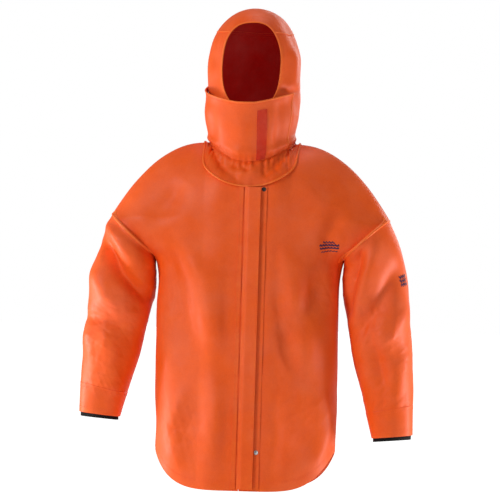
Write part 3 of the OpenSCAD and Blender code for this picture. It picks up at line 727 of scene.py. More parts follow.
def coated(name, dark, light, rub, rough=(0.47, 0.60), coat=0.03, grain=900.0, weave=0.0, bump=0.25, sheen=0.0,
           spec=0.24, metal=0.0, mottle=0.5, painted_glow=0.0):
    """A procedural surface: mottled colour, rubbed edges, fine grain or weave, and varied roughness; painted_glow adds
    a painted glow of the surface's own colour, as if it were lit.
    """
    mat = bpy.data.materials.new(name)
    mat.use_nodes = True
    t = mat.node_tree
    t.nodes.clear()
    out = node(t, "ShaderNodeOutputMaterial")
    bsdf = node(t, "ShaderNodeBsdfPrincipled")
    t.links.new(bsdf.outputs[0], out.inputs["Surface"])
    coord = node(t, "ShaderNodeTexCoord").outputs["Object"]
    g = use_group(t, "coat_grain", coord, Fineness=grain)
    w = use_group(t, "rubbed_wear", coord)
    edge = node(t, "ShaderNodeVertexColor", layer_name="edge_wear")
    t.links.new(edge.outputs["Color"], w.inputs["Edge"])
    drift = scaled(t, g.outputs["Mottle"], 0.5 - mottle, 0.5 + mottle)
    colour = mix_colour(t, drift, dark, light)
    rubbed = scaled(t, w.outputs["Rub"], 0.0, 0.45)
    colour = mix_colour(t, rubbed, colour, rub)
    dusty = scaled(t, w.outputs["Dust"], 0.0, 0.05)
    colour = mix_colour(t, dusty, colour, (0.8, 0.7, 0.62))
    height = g.outputs["Height"]
    if weave:
        v = use_group(t, "plain_weave", coord, Threads=weave)
        colour = mix_colour(t, scaled(t, v.outputs["Thread"], 0.0, 0.3), colour, dark)
        add = node(t, "ShaderNodeMath", operation="ADD")
        t.links.new(v.outputs["Height"], add.inputs[0])
        t.links.new(height, add.inputs[1])
        height = add.outputs[0]
    t.links.new(colour, bsdf.inputs["Base Color"])
    r = scaled(t, g.outputs["Mottle"], *rough)
    soft = node(t, "ShaderNodeMath", operation="MULTIPLY_ADD")
    soft.inputs[1].default_value = 0.18
    t.links.new(w.outputs["Rub"], soft.inputs[0])
    t.links.new(r, soft.inputs[2])
    t.links.new(soft.outputs[0], bsdf.inputs["Roughness"])
    b = node(t, "ShaderNodeBump", Strength=bump, Distance=0.0003)
    t.links.new(height, b.inputs["Height"])
    t.links.new(b.outputs[0], bsdf.inputs["Normal"])
    bsdf.inputs["Coat Weight"].default_value = coat
    bsdf.inputs["Coat Roughness"].default_value = 0.28
    bsdf.inputs["Metallic"].default_value = metal
    bsdf.inputs["Sheen Weight"].default_value = sheen
    bsdf.inputs["Sheen Roughness"].default_value = 0.4
    bsdf.inputs["Specular IOR Level"].default_value = spec
    # painted light: the surface glows with its own colour, brightening it where it lies in shade
    if painted_glow:
        t.links.new(colour, bsdf.inputs["Emission Color"])
        bsdf.inputs["Emission Strength"].default_value = painted_glow
    MATS[name] = mat
    return mat


def lin(r, g, b):
    return tuple(((c / 255 + 0.055) / 1.055) ** 2.4 if c > 10 else c / 255 / 12.92 for c in (r, g, b))


def build_materials(s):
    GROUPS.update(coat_grain=grain_group(), plain_weave=weave_group(), rubbed_wear=wear_group())
    main = np.array(s.cloth_colour[:3])
    dark, light = tuple(main * (0.90, 0.80, 0.75)), tuple(np.minimum(main * (1.04, 1.16, 1.25), 1))
    pale = tuple(np.minimum(main * (1.05, 1.9, 3.2), 1))
    coated("coated_cloth", dark, light, pale)
    coated("trim_cloth", tuple(main * (0.95, 0.82, 0.8)), tuple(main * (1.0, 1.02, 1.0)), pale, coat=0.16)
    # raised seams, beads and bound edges: a lighter copy of the main cloth, a painted highlight where they catch the
    # light
    coated("seam_cloth_painted_highlight", tuple(main * (1.0, 1.25, 1.5)), tuple(np.minimum(main * (1.06, 1.6, 2.2), 1)), pale, coat=0.1)
    inner = np.array(s.lining_colour[:3])
    # the lining gets a faint painted glow, painted light that keeps its shaded insides dark red
    coated("lining_cloth", tuple(inner * 0.75), tuple(inner * 1.1), tuple(inner * 1.6), rough=(0.6, 0.75), coat=0.0,
           weave=420.0, bump=0.5, spec=0.15, painted_glow=0.13)
    coated("touch_strip", lin(204, 38, 4), lin(222, 50, 8), lin(232, 92, 40), rough=(0.7, 0.85), coat=0.0,
           grain=1500.0, bump=1.0, sheen=0.3, spec=0.2)
    coated("hook_strip", lin(16, 15, 15), lin(34, 31, 30), lin(70, 66, 64), rough=(0.5, 0.7), coat=0.0, grain=1200.0,
           bump=1.0)
    cuff = np.array(s.cuff_colour[:3])
    coated("cuff_rubber", tuple(cuff * 0.4), tuple(cuff * 0.9), tuple(cuff * 2.5), rough=(0.7, 0.85), coat=0.0,
           weave=600.0, bump=0.7, spec=0.12)
    coated("elastic", lin(20, 19, 19), lin(38, 36, 35), lin(80, 76, 74), rough=(0.6, 0.8), coat=0.0, weave=700.0,
           bump=0.8)
    coated("snap_metal", lin(190, 190, 192), lin(214, 214, 214), lin(235, 235, 235), rough=(0.16, 0.34), coat=0.0,
           grain=2600.0, bump=0.08, metal=1.0, mottle=0.4)
    coated("snap_dark", lin(28, 24, 26), lin(48, 42, 44), lin(120, 112, 110), rough=(0.22, 0.4), coat=0.3,
           grain=2200.0, bump=0.1)
    coated("badge_print", lin(50, 24, 60), lin(70, 36, 78), lin(130, 84, 120), rough=(0.42, 0.6), coat=0.0,
           grain=1800.0, bump=0.35)
    coated("thread", tuple(main * (0.98, 0.95, 1.0)), tuple(np.minimum(main * (1.05, 1.5, 2.2), 1)), pale,
           rough=(0.5, 0.6), coat=0.1, grain=4000.0, bump=0.4)


# ---- building helpers that use the skins
# a declared sheet may not be narrower than a centimetre
NARROWEST = 0.0101  # the least width a tapering strip is given, about a centimetre
SHOULDER_MID = np.array([0.2775, 0, -0.222])
SHOULDER_BEND = (0.002, 0.092)  # where the bend starts and ends, out from the middle of the armhole


def declare(grid, ring=False):
    """Works out the flat width, length and area of a piece of cloth's cut, unrolled from the worn grid, and keeps none
    of it.
    """
    g = np.concatenate([grid, grid[:, :1]], 1) if ring else grid
    across = np.linalg.norm(np.diff(g, axis=1), axis=-1).sum(1).max()
    down = np.linalg.norm(np.diff(g, axis=0), axis=-1).sum(0).max()
    a, b, c = g[:-1, :-1], g[1:, :-1], g[:-1, 1:]
    d = g[1:, 1:]
    halves = np.cross(b - a, c - a), np.cross(b - d, c - d)
    area = (np.linalg.norm(halves[0], axis=-1) + np.linalg.norm(halves[1], axis=-1)).sum() / 2
    w, h, area = float(across), float(down), float(area)
    if area < 0.31 * w * h:  # a strip that tapers away is given by its mean width, or the least a sheet may have
        w = max(area / h, NARROWEST)


def three(outer, inner="lining_cloth", edge=None):
    return [MATS[outer], MATS[inner], MATS[edge or outer]]


def finish_piece(ob, body=None, replaces=(), blend=None):
    if blend:
        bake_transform(ob)
    else:
        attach(ob, body)
    if replaces:
        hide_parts(*replaces)
    return ob


def sew(name, grid, mats, thick, held, on, body=None, slot=None, replaces=(), blend=None, ring=False, **how):
    """Makes a sheet of cloth, parents it to its body where one is given, and hides the solids it stands for."""
    ob = cloth(name, grid, mats, thick, ring=ring, **how)
    declare(grid, ring)
    return finish_piece(ob, body, replaces, blend)


def shoulder_blend(side):
    """The bend of a sleeve at its armhole."""
    mirror = np.array([-1 if side == "left" else 1, 1, 1])
    start, end = (tuple((SHOULDER_MID + OUT_DIR * out) * mirror) for out in SHOULDER_BEND)
    return "jacket_body", f"{side}_upper_sleeve", start, end


def dress(names, mat):
    """Gives carried-over CAD nodes a procedural surface."""
    for name in names:
        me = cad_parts[name].data
        me.materials.clear()
        me.materials.append(MATS[mat])


def v_mid(z, top=NECK_FRONT):
    """Row of the body whose middle lies at height z."""
    z = np.asarray(z, float)
    arm = 1 + np.arccos(np.clip((z + TIP_DROP + ARM_OPEN / 2) / (ARM_OPEN / 2), -1, 1)) / math.pi
    return np.where(z > -TIP_DROP, (-z - top) / (TIP_DROP - top),
                    np.where(z > -UNDER, arm, 2 + (-z - UNDER) / (LENGTH - UNDER)))


BODY_ROWS = np.concatenate([np.linspace(0, 1, 56)[:-1], 1 + np.linspace(0, 1, 42)[:-1], 2 + np.linspace(0, 1, 150)])


def body_grid(rows, a, back=False):
    v, aa = np.meshgrid(rows, a, indexing="ij")
    return body_skin(v, aa, back)


def edge_rub(grid, sides):
    """1 at the named edges of a grid, falling off over about a centimetre."""
    n, m = grid.shape[:2]
    out = np.zeros((n, m))
    run = np.concatenate([[0], np.cumsum(np.linalg.norm(np.diff(grid[:, m // 2], axis=0), axis=-1))])
    cross = np.concatenate([[0], np.cumsum(np.linalg.norm(np.diff(grid[n // 2], axis=0), axis=-1))])
    for side in sides:
        d = {"top": run[:, None], "low": (run[-1] - run)[:, None],
             "left": cross[None], "right": (cross[-1] - cross)[None]}[side]
        out = np.maximum(out, np.exp(-d / 0.006) * np.ones((n, m)))
    return out


def strip(name, x0, x1, z0, z1, offset, mats, thick=0.0015, cols=9, rows=150, curl=0.0, root=0.0):
    """A flat strip lying on the middle of the front, offset out from it."""
    z = np.linspace(z0, z1, rows)
    x = np.linspace(x0, x1, cols)
    zz, xx = np.meshgrid(z, x, indexing="ij")
    y = -front_y(zz) - 0.0003 - offset
    p = np.stack([xx, y, zz], -1)
    u = (xx - x0) / (x1 - x0)
    uneven = crumple(p, 17, 14, 0.05, 0.2, 0.0005)
    p[..., 1] -= uneven + curl * np.maximum(u - 0.6, 0) ** 2 * 6 - root * (1 - ease(u / 0.3))
    return p, cloth(name, p, mats, thick, wear=edge_rub(p, ("left", "right", "low")))


def chosen(context):
    return context.scene.jacket


class JacketSettings(bpy.types.PropertyGroup):
    """Sizes and colours of the jacket that a user may change"""

    cloth_colour: FloatVectorProperty(name="Cloth colour", description="Main coated cloth", subtype="COLOR", size=3,
                                      min=0, max=1, default=(0.93, 0.108, 0.008))
    lining_colour: FloatVectorProperty(name="Lining colour", description="Inside face of the cloth", subtype="COLOR",
                                       size=3, min=0, max=1, default=(0.50, 0.006, 0.004))
    cuff_colour: FloatVectorProperty(name="Cuff colour", description="Inner wrist cuffs", subtype="COLOR", size=3,
                                     min=0, max=1, default=(0.012, 0.010, 0.011))
    cloth_thickness: FloatProperty(name="Cloth thickness", description="Thickness of the coated cloth", unit="LENGTH",
                                   min=0.0005, max=0.003, default=0.0012)
    fold_depth: FloatProperty(name="Fold depth", description="Strength of all folds", min=0, max=2, default=1.0)
    stitch_length: FloatProperty(name="Stitch length", description="Length of one thread stitch", unit="LENGTH",
                                 min=0.001, max=0.006, default=0.003)
    samples_round: IntProperty(name="Sleeve columns", description="Columns of the mesh round a sleeve", min=48,
                               max=200, default=128)


class BuildMaterials(bpy.types.Operator):
    """Builds the shared effects and every surface"""

    bl_idname = "jacket.materials"
    bl_label = "Surfaces"

    def execute(self, context):
        build_materials(chosen(context))
        SETTINGS["fold"] = chosen(context).fold_depth
        return {"FINISHED"}


class BuildBody(bpy.types.Operator):
    """Two front panels and the back panel, hung from the shoulders"""

    bl_idname = "jacket.body_panels"
    bl_label = "Body panels"

    def execute(self, context):
        s = chosen(context)
        t = np.linspace(0, 1, 92)
        half = math.pi / 2 * (1 - (1 - t) ** 1.15)
        for side in ("right", "left"):
            a = half if side == "right" else -half[::-1]
            p = body_grid(BODY_ROWS, a)
            n = normals(p)
            p[..., 0] += 0.0006 if side == "right" else -0.0006
            sew(f"front_{side}_cloth", p, three("coated_cloth"), s.cloth_thickness, "hung", ["back_cloth"],
                "jacket_body", "coated_cloth", [f"front_{side}_panel"], nrm=n,
                wear=edge_rub(p, ("low", "right" if side == "right" else "left")))
        a = np.concatenate([half[::-1], -half[1:]])
        p = body_grid(BODY_ROWS, a, True)
        sew("back_cloth", p, three("coated_cloth"), s.cloth_thickness, "hung", ["neck_elastic_band"], "jacket_body",
            "coated_cloth", ["back_panel"], wear=edge_rub(p, ("low",)))
        return {"FINISHED"}


class BuildHems(bpy.types.Operator):
    """Turned-up hems, seam tapes inside, welded seam lines outside and their stitching"""

    bl_idname = "jacket.hems_and_tapes"
    bl_label = "Hems, tapes and seams"

    def execute(self, context):
        s = chosen(context)
        low = float(v_mid(-LENGTH + 0.024))
        rows = np.linspace(low, 2.998, 12)
        for side, a in (("right", np.linspace(0.25, 1.53, 70)), ("left", np.linspace(-1.53, -0.25, 70))):
            p = body_grid(rows, a)
            sew(f"front_{side}_hem_cloth", p, three("trim_cloth", "coated_cloth"), 0.0012, "folded",
                [f"front_{side}_cloth"], "jacket_body", "trim_cloth", [f"front_{side}_hem"], base=-0.0022)
        p = body_grid(rows, np.linspace(1.5, -1.5, 120), True)
        sew("back_hem_cloth", p, three("trim_cloth", "coated_cloth"), 0.0012, "folded", ["back_cloth"], "jacket_body",
            "trim_cloth", ["back_hem"], base=-0.0022)
        for side, sign in (("right", 1), ("left", -1)):
            for name, rows, node_name in (("shoulder", np.linspace(0.04, 0.94, 30), "shoulder_tapes"),
                                          ("side", np.linspace(2.06, low - 0.02, 80), "side_tapes")):
                a = np.linspace(1.42, 1.55, 5)
                f = body_grid(rows, a * sign if sign > 0 else -a[::-1])
                b = body_grid(rows, a[::-1] * sign if sign > 0 else -a, True)
                g = np.concatenate([f, b], 1) if sign > 0 else np.concatenate([b, f], 1)
                sew(f"{side}_{name}_tape", g, three("lining_cloth"), 0.0008, "stretched", ["back_cloth"],
                    "jacket_body", "lining_cloth", [node_name], base=-0.0030)
            rim = [body_skin(v, sign * math.pi / 2) for v in np.linspace(2.0, 2.998, 120)]
            ob = tube_along(f"{side}_side_seam", rim, 0.0016, [MATS["trim_cloth"]], squash=0.6)
            finish_piece(ob, "jacket_body")
            rim = [body_skin(v, sign * math.pi / 2) for v in np.linspace(0.02, 0.995, 60)]
            ob = tube_along(f"{side}_shoulder_seam", rim, 0.0015, [MATS["trim_cloth"]], squash=0.7)
            finish_piece(ob, "jacket_body")
            self.armhole(side, sign)
        self.stitching(s, low)
        return {"FINISHED"}

    def armhole(self, side, sign):
        v = np.linspace(1.0, 2.0, 70)
        a = np.linspace(1.36, 1.54, 10)
        lift = np.array([0.0002, 0.0012, 0.0015, 0.0013, 0.0012, 0.0012, 0.0013, 0.0015, 0.0014, 0.0012])
        fr = body_grid(v, a if sign > 0 else -a[::-1])
        n = normals(fr)
        fr = fr + n * (lift if sign > 0 else lift[::-1])[None, :, None]
        sew(f"{side}_armhole_seam_front", fr, three("seam_cloth_painted_highlight"), 0.0012, "stretched", [f"front_{side}_cloth"],
            "jacket_body", "coated_cloth", [f"{side}_armhole_welt"], base=0.0006,
            wear=edge_rub(fr, ("left", "right")))
        bk = body_grid(v, a[::-1] if sign > 0 else -a, True)
        bk = bk + normals(bk) * (lift[::-1] if sign > 0 else lift)[None, :, None]
        sew(f"{side}_armhole_seam_back", bk, three("seam_cloth_painted_highlight"), 0.0012, "stretched", ["back_cloth"], "jacket_body",
            "coated_cloth", [f"{side}_armhole_welt"], base=0.0006, wear=edge_rub(bk, ("left", "right")))
        ring = [body_skin(x, sign * math.pi / 2) for x in np.linspace(1, 2, 60)]
        ring += [body_skin(x, sign * math.pi / 2, True) for x in np.linspace(2, 1, 60)[1:-1]]
        ob = tube_along(f"{side}_armhole_bead", ring, 0.0032, [MATS["seam_cloth_painted_highlight"]], closed=True,
                        squash=0.8)
        finish_piece(ob, "jacket_body")

    def stitching(self, s, low):
        paths = []

        def along(v, a, back=False, lift=0.0004):
            v, a = np.atleast_1d(v), np.atleast_1d(a)
            v, a = np.broadcast_arrays(v, a)
            e = 2e-3
            p = body_skin(v, a, back)
            sign = -1 if back else 1
            n = np.cross(body_skin(v + e, a, back) - p, body_skin(v, a + e, back) - p) * sign
            n /= np.maximum(np.linalg.norm(n, axis=-1, keepdims=True), 1e-12)
            return p + n * lift, n

        for v in (low, low + 0.006):
            paths.append(along(v, np.linspace(0.26, 1.5, 120)))
            paths.append(along(v, np.linspace(-1.5, -0.12, 120)))
            paths.append(along(v, np.linspace(-1.5, 1.5, 200), True))
        for sign in (-1, 1):
            for a in (1.40, 1.50):
                paths.append(along(np.linspace(1.02, 1.98, 60), sign * a, lift=0.0024))
                paths.append(along(np.linspace(1.02, 1.98, 60), sign * a, True, lift=0.0024))
            for a in (1.545,):
                paths.append(along(np.linspace(2.03, 2.97, 120), sign * a, lift=0.0008))
        ob = stitches("body_stitching", paths, MATS["thread"], s.stitch_length)
        finish_piece(ob, "jacket_body")


class BuildFront(bpy.types.Operator):
    """Front closing: welt, stud band, facing, storm flap and its lining"""

    bl_idname = "jacket.front_closing"
    bl_label = "Front closing"

    def execute(self, context):
        s = chosen(context)
        top, end = -0.102, -LENGTH + 0.004
        x1 = FLAP_X0 - 0.003
        p, ob = strip("front_welt_cloth", x1 - WELT_W, x1, top, end, 0.0015, three("coated_cloth"))
        declare(p)
        finish_piece(ob, "jacket_body", ["front_welt"])
        p, ob = strip("stud_band_cloth", 0.0015, 0.0015 + BAND_W, top, end, 0.0020, three("coated_cloth"), cols=16)
        declare(p)
        finish_piece(ob, "jacket_body", ["stud_band"])
        p, ob = strip("front_facing_cloth", -0.034, 0.026, top, end, -0.0052, three("lining_cloth"), cols=12)
        declare(p)
        finish_piece(ob, "jacket_body", ["front_facing"])
        start = (-0.008, float(-front_y(np.array(-0.45))) - 0.005, -0.45)
        stop = (0.004, start[1], -0.45)
        blend = ("jacket_body", "storm_flap", start, stop)
        p, ob = strip("storm_flap_cloth", FLAP_X0, FLAP_X0 + FLAP_W, top - 0.001, end, 0.0088, three("coated_cloth"),
                      cols=20, curl=0.0004, root=0.0058)
        declare(p)
        finish_piece(ob, replaces=["storm_flap"], blend=blend)
        p2, ob = strip("flap_lining_cloth", FLAP_X0, FLAP_X0 + FLAP_W - 0.002, top - 0.001, end, 0.0066,
                       three("lining_cloth"), cols=14, root=0.0052)
        declare(p2)
        finish_piece(ob, replaces=["flap_lining"], blend=blend)
        z = np.linspace(top - 0.004, end + 0.002, 200)
        out = np.tile([0.0, -1.0, 0.0], (200, 1))
        out[:, 2] = 0.045

        def line(x, off):
            return np.stack([np.full_like(z, x), -front_y(z) - 0.0003 - off, z], -1), out

        ob = stitches("front_stitching", [line(x1 - WELT_W + 0.002, 0.0017), line(x1 - 0.002, 0.0017),
                                          line(0.0015 + BAND_W - 0.0025, 0.0022)], MATS["thread"], s.stitch_length)
        finish_piece(ob, "jacket_body")
        ob = stitches("flap_stitching", [line(FLAP_X0 + 0.0005, 0.0034), line(FLAP_X0 + FLAP_W - 0.003, 0.0092)],
                      MATS["thread"], s.stitch_length)
        finish_piece(ob, blend=blend)
        return {"FINISHED"}


def hood_grid(z_rows, cols, f_low=None, f_high=None):
    """Rows from the top down; columns from the face opening's right edge round to its left edge."""
    rows = []
    for z in z_rows:
        f0 = max(float(face_f(np.array(z))), 0.0015)
        lo = f0 if f_low is None else f_low
        hi = 2 * math.pi - f0 if f_high is None else f_high
        u = np.linspace(0, 1, cols)
        bend = 0.5 - 0.5 * np.cos(np.pi * u)
        rows.append(hood_skin(np.full(cols, z), lerp(lo, hi, lerp(u, bend, 0.35)))[0])
    return np.array(rows)


FACE_ROWS = np.sin(np.linspace(math.pi / 2, -math.pi / 2, 96)[1:-1])
HOOD_Z = np.concatenate([
    HOOD_TOP - (HOOD_TOP - FACE_MID - FACE_HIGH) * np.linspace(0.02, 1, 34) ** 2,
    FACE_MID + FACE_HIGH * FACE_ROWS * np.abs(FACE_ROWS) ** (2 / FACE_ROUND - 1),
    np.linspace(FACE_MID - FACE_HIGH, -COLLAR, 62),
])


class BuildHood(bpy.types.Operator):
    """Hood of side panels, back strip and crown, with its face hem, seams and stitching"""

    bl_idname = "jacket.hood"
    bl_label = "Hood"

    def execute(self, context):
        s = chosen(context)
        blend = ("jacket_body", "hood", (0, 0, -0.04), (0, 0, 0.07))
        z = HOOD_Z
        cols = 150
        g = hood_grid(z, cols)
        n = normals(g)
        n[0] = n[1]
        cut = int(np.argmin(np.abs(z - HOOD_LOW)))
        crown, sides = slice(0, cut + 1), slice(cut, len(z))
        wear = np.zeros(g.shape[:2])
        sew("hood_crown_cloth", g[crown], three("coated_cloth"), s.cloth_thickness, "hung", ["hood_side_cloth"],
            slot="coated_cloth", replaces=["hood_crown"], blend=blend, nrm=n[crown], base=0.0006, wear=wear[crown])
        rub = wear[sides].copy()
        rub[:, :4] = 1
        rub[:, -4:] = 1
        sew("hood_side_cloth", g[sides], three("coated_cloth"), s.cloth_thickness, "hung", ["neck_elastic_band"],
            slot="coated_cloth", replaces=["hood_left_panel", "hood_right_panel", "hood_back"], blend=blend,
            nrm=n[sides], wear=rub)
        th = np.linspace(0, 2 * math.pi, 161)[:-1]
        e = 2 / FACE_ROUND
        rim_z = FACE_MID + FACE_HIGH * np.sign(np.sin(th)) * np.abs(np.sin(th)) ** e
        rim_x = FACE_HALF * np.sign(np.cos(th)) * np.abs(np.cos(th)) ** e
        f = np.arcsin(np.clip(rim_x / hood_w(rim_z), -1, 1))
        rim, rn = hood_skin(rim_z, f)
        ob = tube_along("face_rim", rim - rn * 0.0006, 0.0019, [MATS["seam_cloth_painted_highlight"]], closed=True, up=rn, squash=0.8)
        finish_piece(ob, blend=blend)
        self.hems(s, blend)
        ob = tube_along("crown_seam", g[cut] + n[cut] * 0.0006, 0.0016, [MATS["seam_cloth_painted_highlight"]], up=n[cut], squash=0.6)
        finish_piece(ob, blend=blend)
        back = []
        for sign in (-1, 1):
            zz = np.linspace(-0.03, HOOD_LOW, 90)
            fb = math.pi + sign * np.arcsin(0.048 / hood_w(zz))
            p, nn = hood_skin(zz, fb)
            back.append((p + nn * 0.0004, nn))
            ob = tube_along("hood_back_seam_" + ("right" if sign < 0 else "left"), p, 0.0012, [MATS["coated_cloth"]],
                            up=nn, squash=0.6)
            finish_piece(ob, blend=blend)
        q = hood_grid([HOOD_LOW - 0.005, HOOD_LOW + 0.005], 220)
        path = [(q[k] + normals(q)[k] * 0.0008, normals(q)[k]) for k in range(2)]
        ob = stitches("hood_stitching", path + back, MATS["thread"], s.stitch_length)
        finish_piece(ob, blend=blend)
        rows = np.linspace(0.34, 0.04, 30) * (HOOD_LOW + COLLAR) - COLLAR
        zz, ff = np.meshgrid(rows, np.radians(np.linspace(10, 22, 8)), indexing="ij")
        p, nn = hood_skin(zz, ff)
        sew("hood_touch_strip_cloth", p, three("touch_strip", "touch_strip"), 0.0008, "laid", ["hood_side_cloth"],
            slot="touch_strip", replaces=["hood_touch_strip"], blend=blend, base=0.0016)
        return {"FINISHED"}

    def hems(self, s, blend):
        paths = []
        for grow in (0.006, 0.013):
            th = np.linspace(0.12, math.pi - 0.12, 150)
            e = 2 / FACE_ROUND
            zz = FACE_MID + (FACE_HIGH + grow) * np.abs(np.sin(th)) ** e
            xx = (FACE_HALF + grow) * np.sign(np.cos(th)) * np.abs(np.cos(th)) ** e
            f = np.arcsin(np.clip(xx / hood_w(zz), -1, 1))
            p, n = hood_skin(zz, f)
            paths.append((p + n * 0.0007, n))
        ob = stitches("face_hem_stitching", paths, MATS["thread"], s.stitch_length)
        finish_piece(ob, blend=blend)
        for side in ("right", "left"):
            grid = []
            for z in FACE_MID + FACE_HIGH * np.linspace(0.92, -0.99, 60):
                f0 = float(face_f(np.array(z)))
                f = np.linspace(f0 + 0.004, f0 + 0.14, 7)
                f = f if side == "right" else -f[::-1]
                grid.append(hood_skin(np.full(7, z), f)[0])
            grid = np.array(grid)
            sew(f"face_hem_{side}_cloth", grid, three("trim_cloth", "coated_cloth"), 0.001, "folded",
                ["hood_side_cloth"], slot="trim_cloth", replaces=[f"face_hem_{side}"], blend=blend, base=-0.0024)


def flap_top(f):
    d = np.degrees(f)
    rise_right = lerp(0.096, 0.118, np.clip((d - 5) / 50, 0, 1) ** 1.2)
    return rise_right + 0.034 * np.clip(-(d + 15) / 72, 0, 1) ** 1.4


def chin_lie(f, t, lift):
    """The chin flap over the hood: t 0 at the neck, 1 at its top edge."""
    z0 = lerp(-COLLAR, flap_top(f), t)
    p, n = hood_skin(z0, f, True)
    d = np.degrees(f)
    gape = 0.006 * np.clip((t - 0.8) / 0.2, 0, 1) ** 2 * (0.25 + hill(d, 48, 16) + hill(d, -58, 20))
    gape = gape * ease((d + 87) / 22)
    hinge = lerp(0.25, 1.0, ease((d + 88) / 16))
    return p + n * (lift * hinge + gape)[..., None], n


class BuildChin(bpy.types.Operator):
    """Chin flap with its hem, hook strip and touch strip"""

    bl_idname = "jacket.chin_flap"
    bl_label = "Chin flap"

    def execute(self, context):
        s = chosen(context)
        blend = ("hood", "chin_flap", (-0.1135, -0.005, 0.04), (-0.095, -0.045, 0.04))
        rows, cols = np.linspace(1, 0.0, 80), np.radians(np.linspace(-87, 56, 130))
        t, f = np.meshgrid(rows, cols, indexing="ij")
        t = lerp(t, 1, 0.05 * (np.minimum(f, 0) / math.radians(87)) ** 2) * 0.988 + 0.012
        p, _ = chin_lie(f, t, chin_lift(t))
        sew("chin_flap_cloth", p, three("coated_cloth"), s.cloth_thickness, "hung", ["hood_side_cloth"],
            slot="coated_cloth", replaces=["chin_flap"], blend=blend, wear=edge_rub(p, ("top", "right")))
        n = normals(p)
        path = np.concatenate([p[0] + n[0] * -0.0003, p[1:, -1] + n[1:, -1] * -0.0003])
        up = np.concatenate([n[0], n[1:, -1]])
        ob = tube_along("chin_flap_bound_edge", path, 0.0021, [MATS["seam_cloth_painted_highlight"]], up=up, squash=0.85)
        finish_piece(ob, blend=blend)
        inset = 4
        a = (p[inset, :-inset] + n[inset, :-inset] * 0.0003, n[inset, :-inset])
        b = (p[inset:, -1 - inset] + n[inset:, -1 - inset] * 0.0003, n[inset:, -1 - inset])
        ob = stitches("chin_flap_stitching", [a, b], MATS["thread"], s.stitch_length)
        finish_piece(ob, blend=blend)
        f0, f1 = math.asin(0.018 / HOOD_HALF), math.asin(0.040 / HOOD_HALF)
        for name, node_name, t0, t1, lift, mat, thick in (
                ("chin_flap_strip_cloth", "chin_flap_strip", 0.02, 0.86, 0.0016, "touch_strip", 0.0011),
                ("chin_flap_hooks_cloth", "chin_flap_hooks", 0.1, 0.7, -0.0016, "hook_strip", 0.0009)):
            t, f = np.meshgrid(np.linspace(t1, t0, 60), np.linspace(f0, f1, 12), indexing="ij")
            q, _ = chin_lie(f, t, chin_lift(t) + lift)
            sew(name, q, three(mat, mat), thick, "laid", ["chin_flap_cloth"],
                slot="touch_strip" if mat == "touch_strip" else "hook_strip", replaces=[node_name], blend=blend,
                wear=edge_rub(q, ("left", "right", "top")))
        return {"FINISHED"}


RASTER, CELLS, NECK_TOP = 0.002, 90, 0.02


def raster_cell(p):
    """Column and row of the raster in which points lie."""
    return (np.clip((np.abs(p[..., 0]) / RASTER).astype(int), 0, CELLS - 1),
            np.clip(((NECK_TOP - p[..., 2]) / RASTER).astype(int), 0, CELLS - 1))


def front_map():
    """Outermost depth of the front near the neck, on a raster of x and z."""
    v, a = np.meshgrid(np.linspace(0, 1.1, 700), np.linspace(0, math.pi / 2, 500), indexing="ij")
    p = soft_points(v, a, False).reshape(-1, 3)
    depth = np.full((CELLS, CELLS), 9.0)
    np.minimum.at(depth, raster_cell(p), p[:, 1])
    return depth


FRONT_MAP = front_map()


def over_front(p, clear):
    """Moves points that would sink into the front out to `clear` above it."""
    y = FRONT_MAP[raster_cell(p)]
    p[..., 1] = np.where((y < 8) & (p[..., 1] < 0.02), np.minimum(p[..., 1], y - clear), p[..., 1])
    return p


def skirt_lie(f, t):
    c = np.cos(f)
    k, b = np.where(c > 0, 1 - (1 - c) ** 6, 0), np.where(c < 0, c * c, 0)
    x = lerp(NECK - 0.007, NECK + 0.006, t) * np.sign(np.sin(f)) * np.abs(np.sin(f)) ** lerp(1, 0.9, t)
    hf, hb = 0.110, 0.0764
    y = HOOD_Y - np.where(c > 0, hf + 0.022 * np.maximum(t, 0) ** 0.8, hb + 0.012 * t) * c
    z = neck_z(f) - 0.0025 - t * (0.054 * k + 0.030 * b - 0.0026 * (1 - np.abs(c)))
    return over_front(np.stack([x, y, z], -1), 0.0065)


def chin_lift(t):
    """The chin flap lies close at the neck seam and stands off above it."""
    return 0.0022 + 0.0033 * ease(t / 0.22)


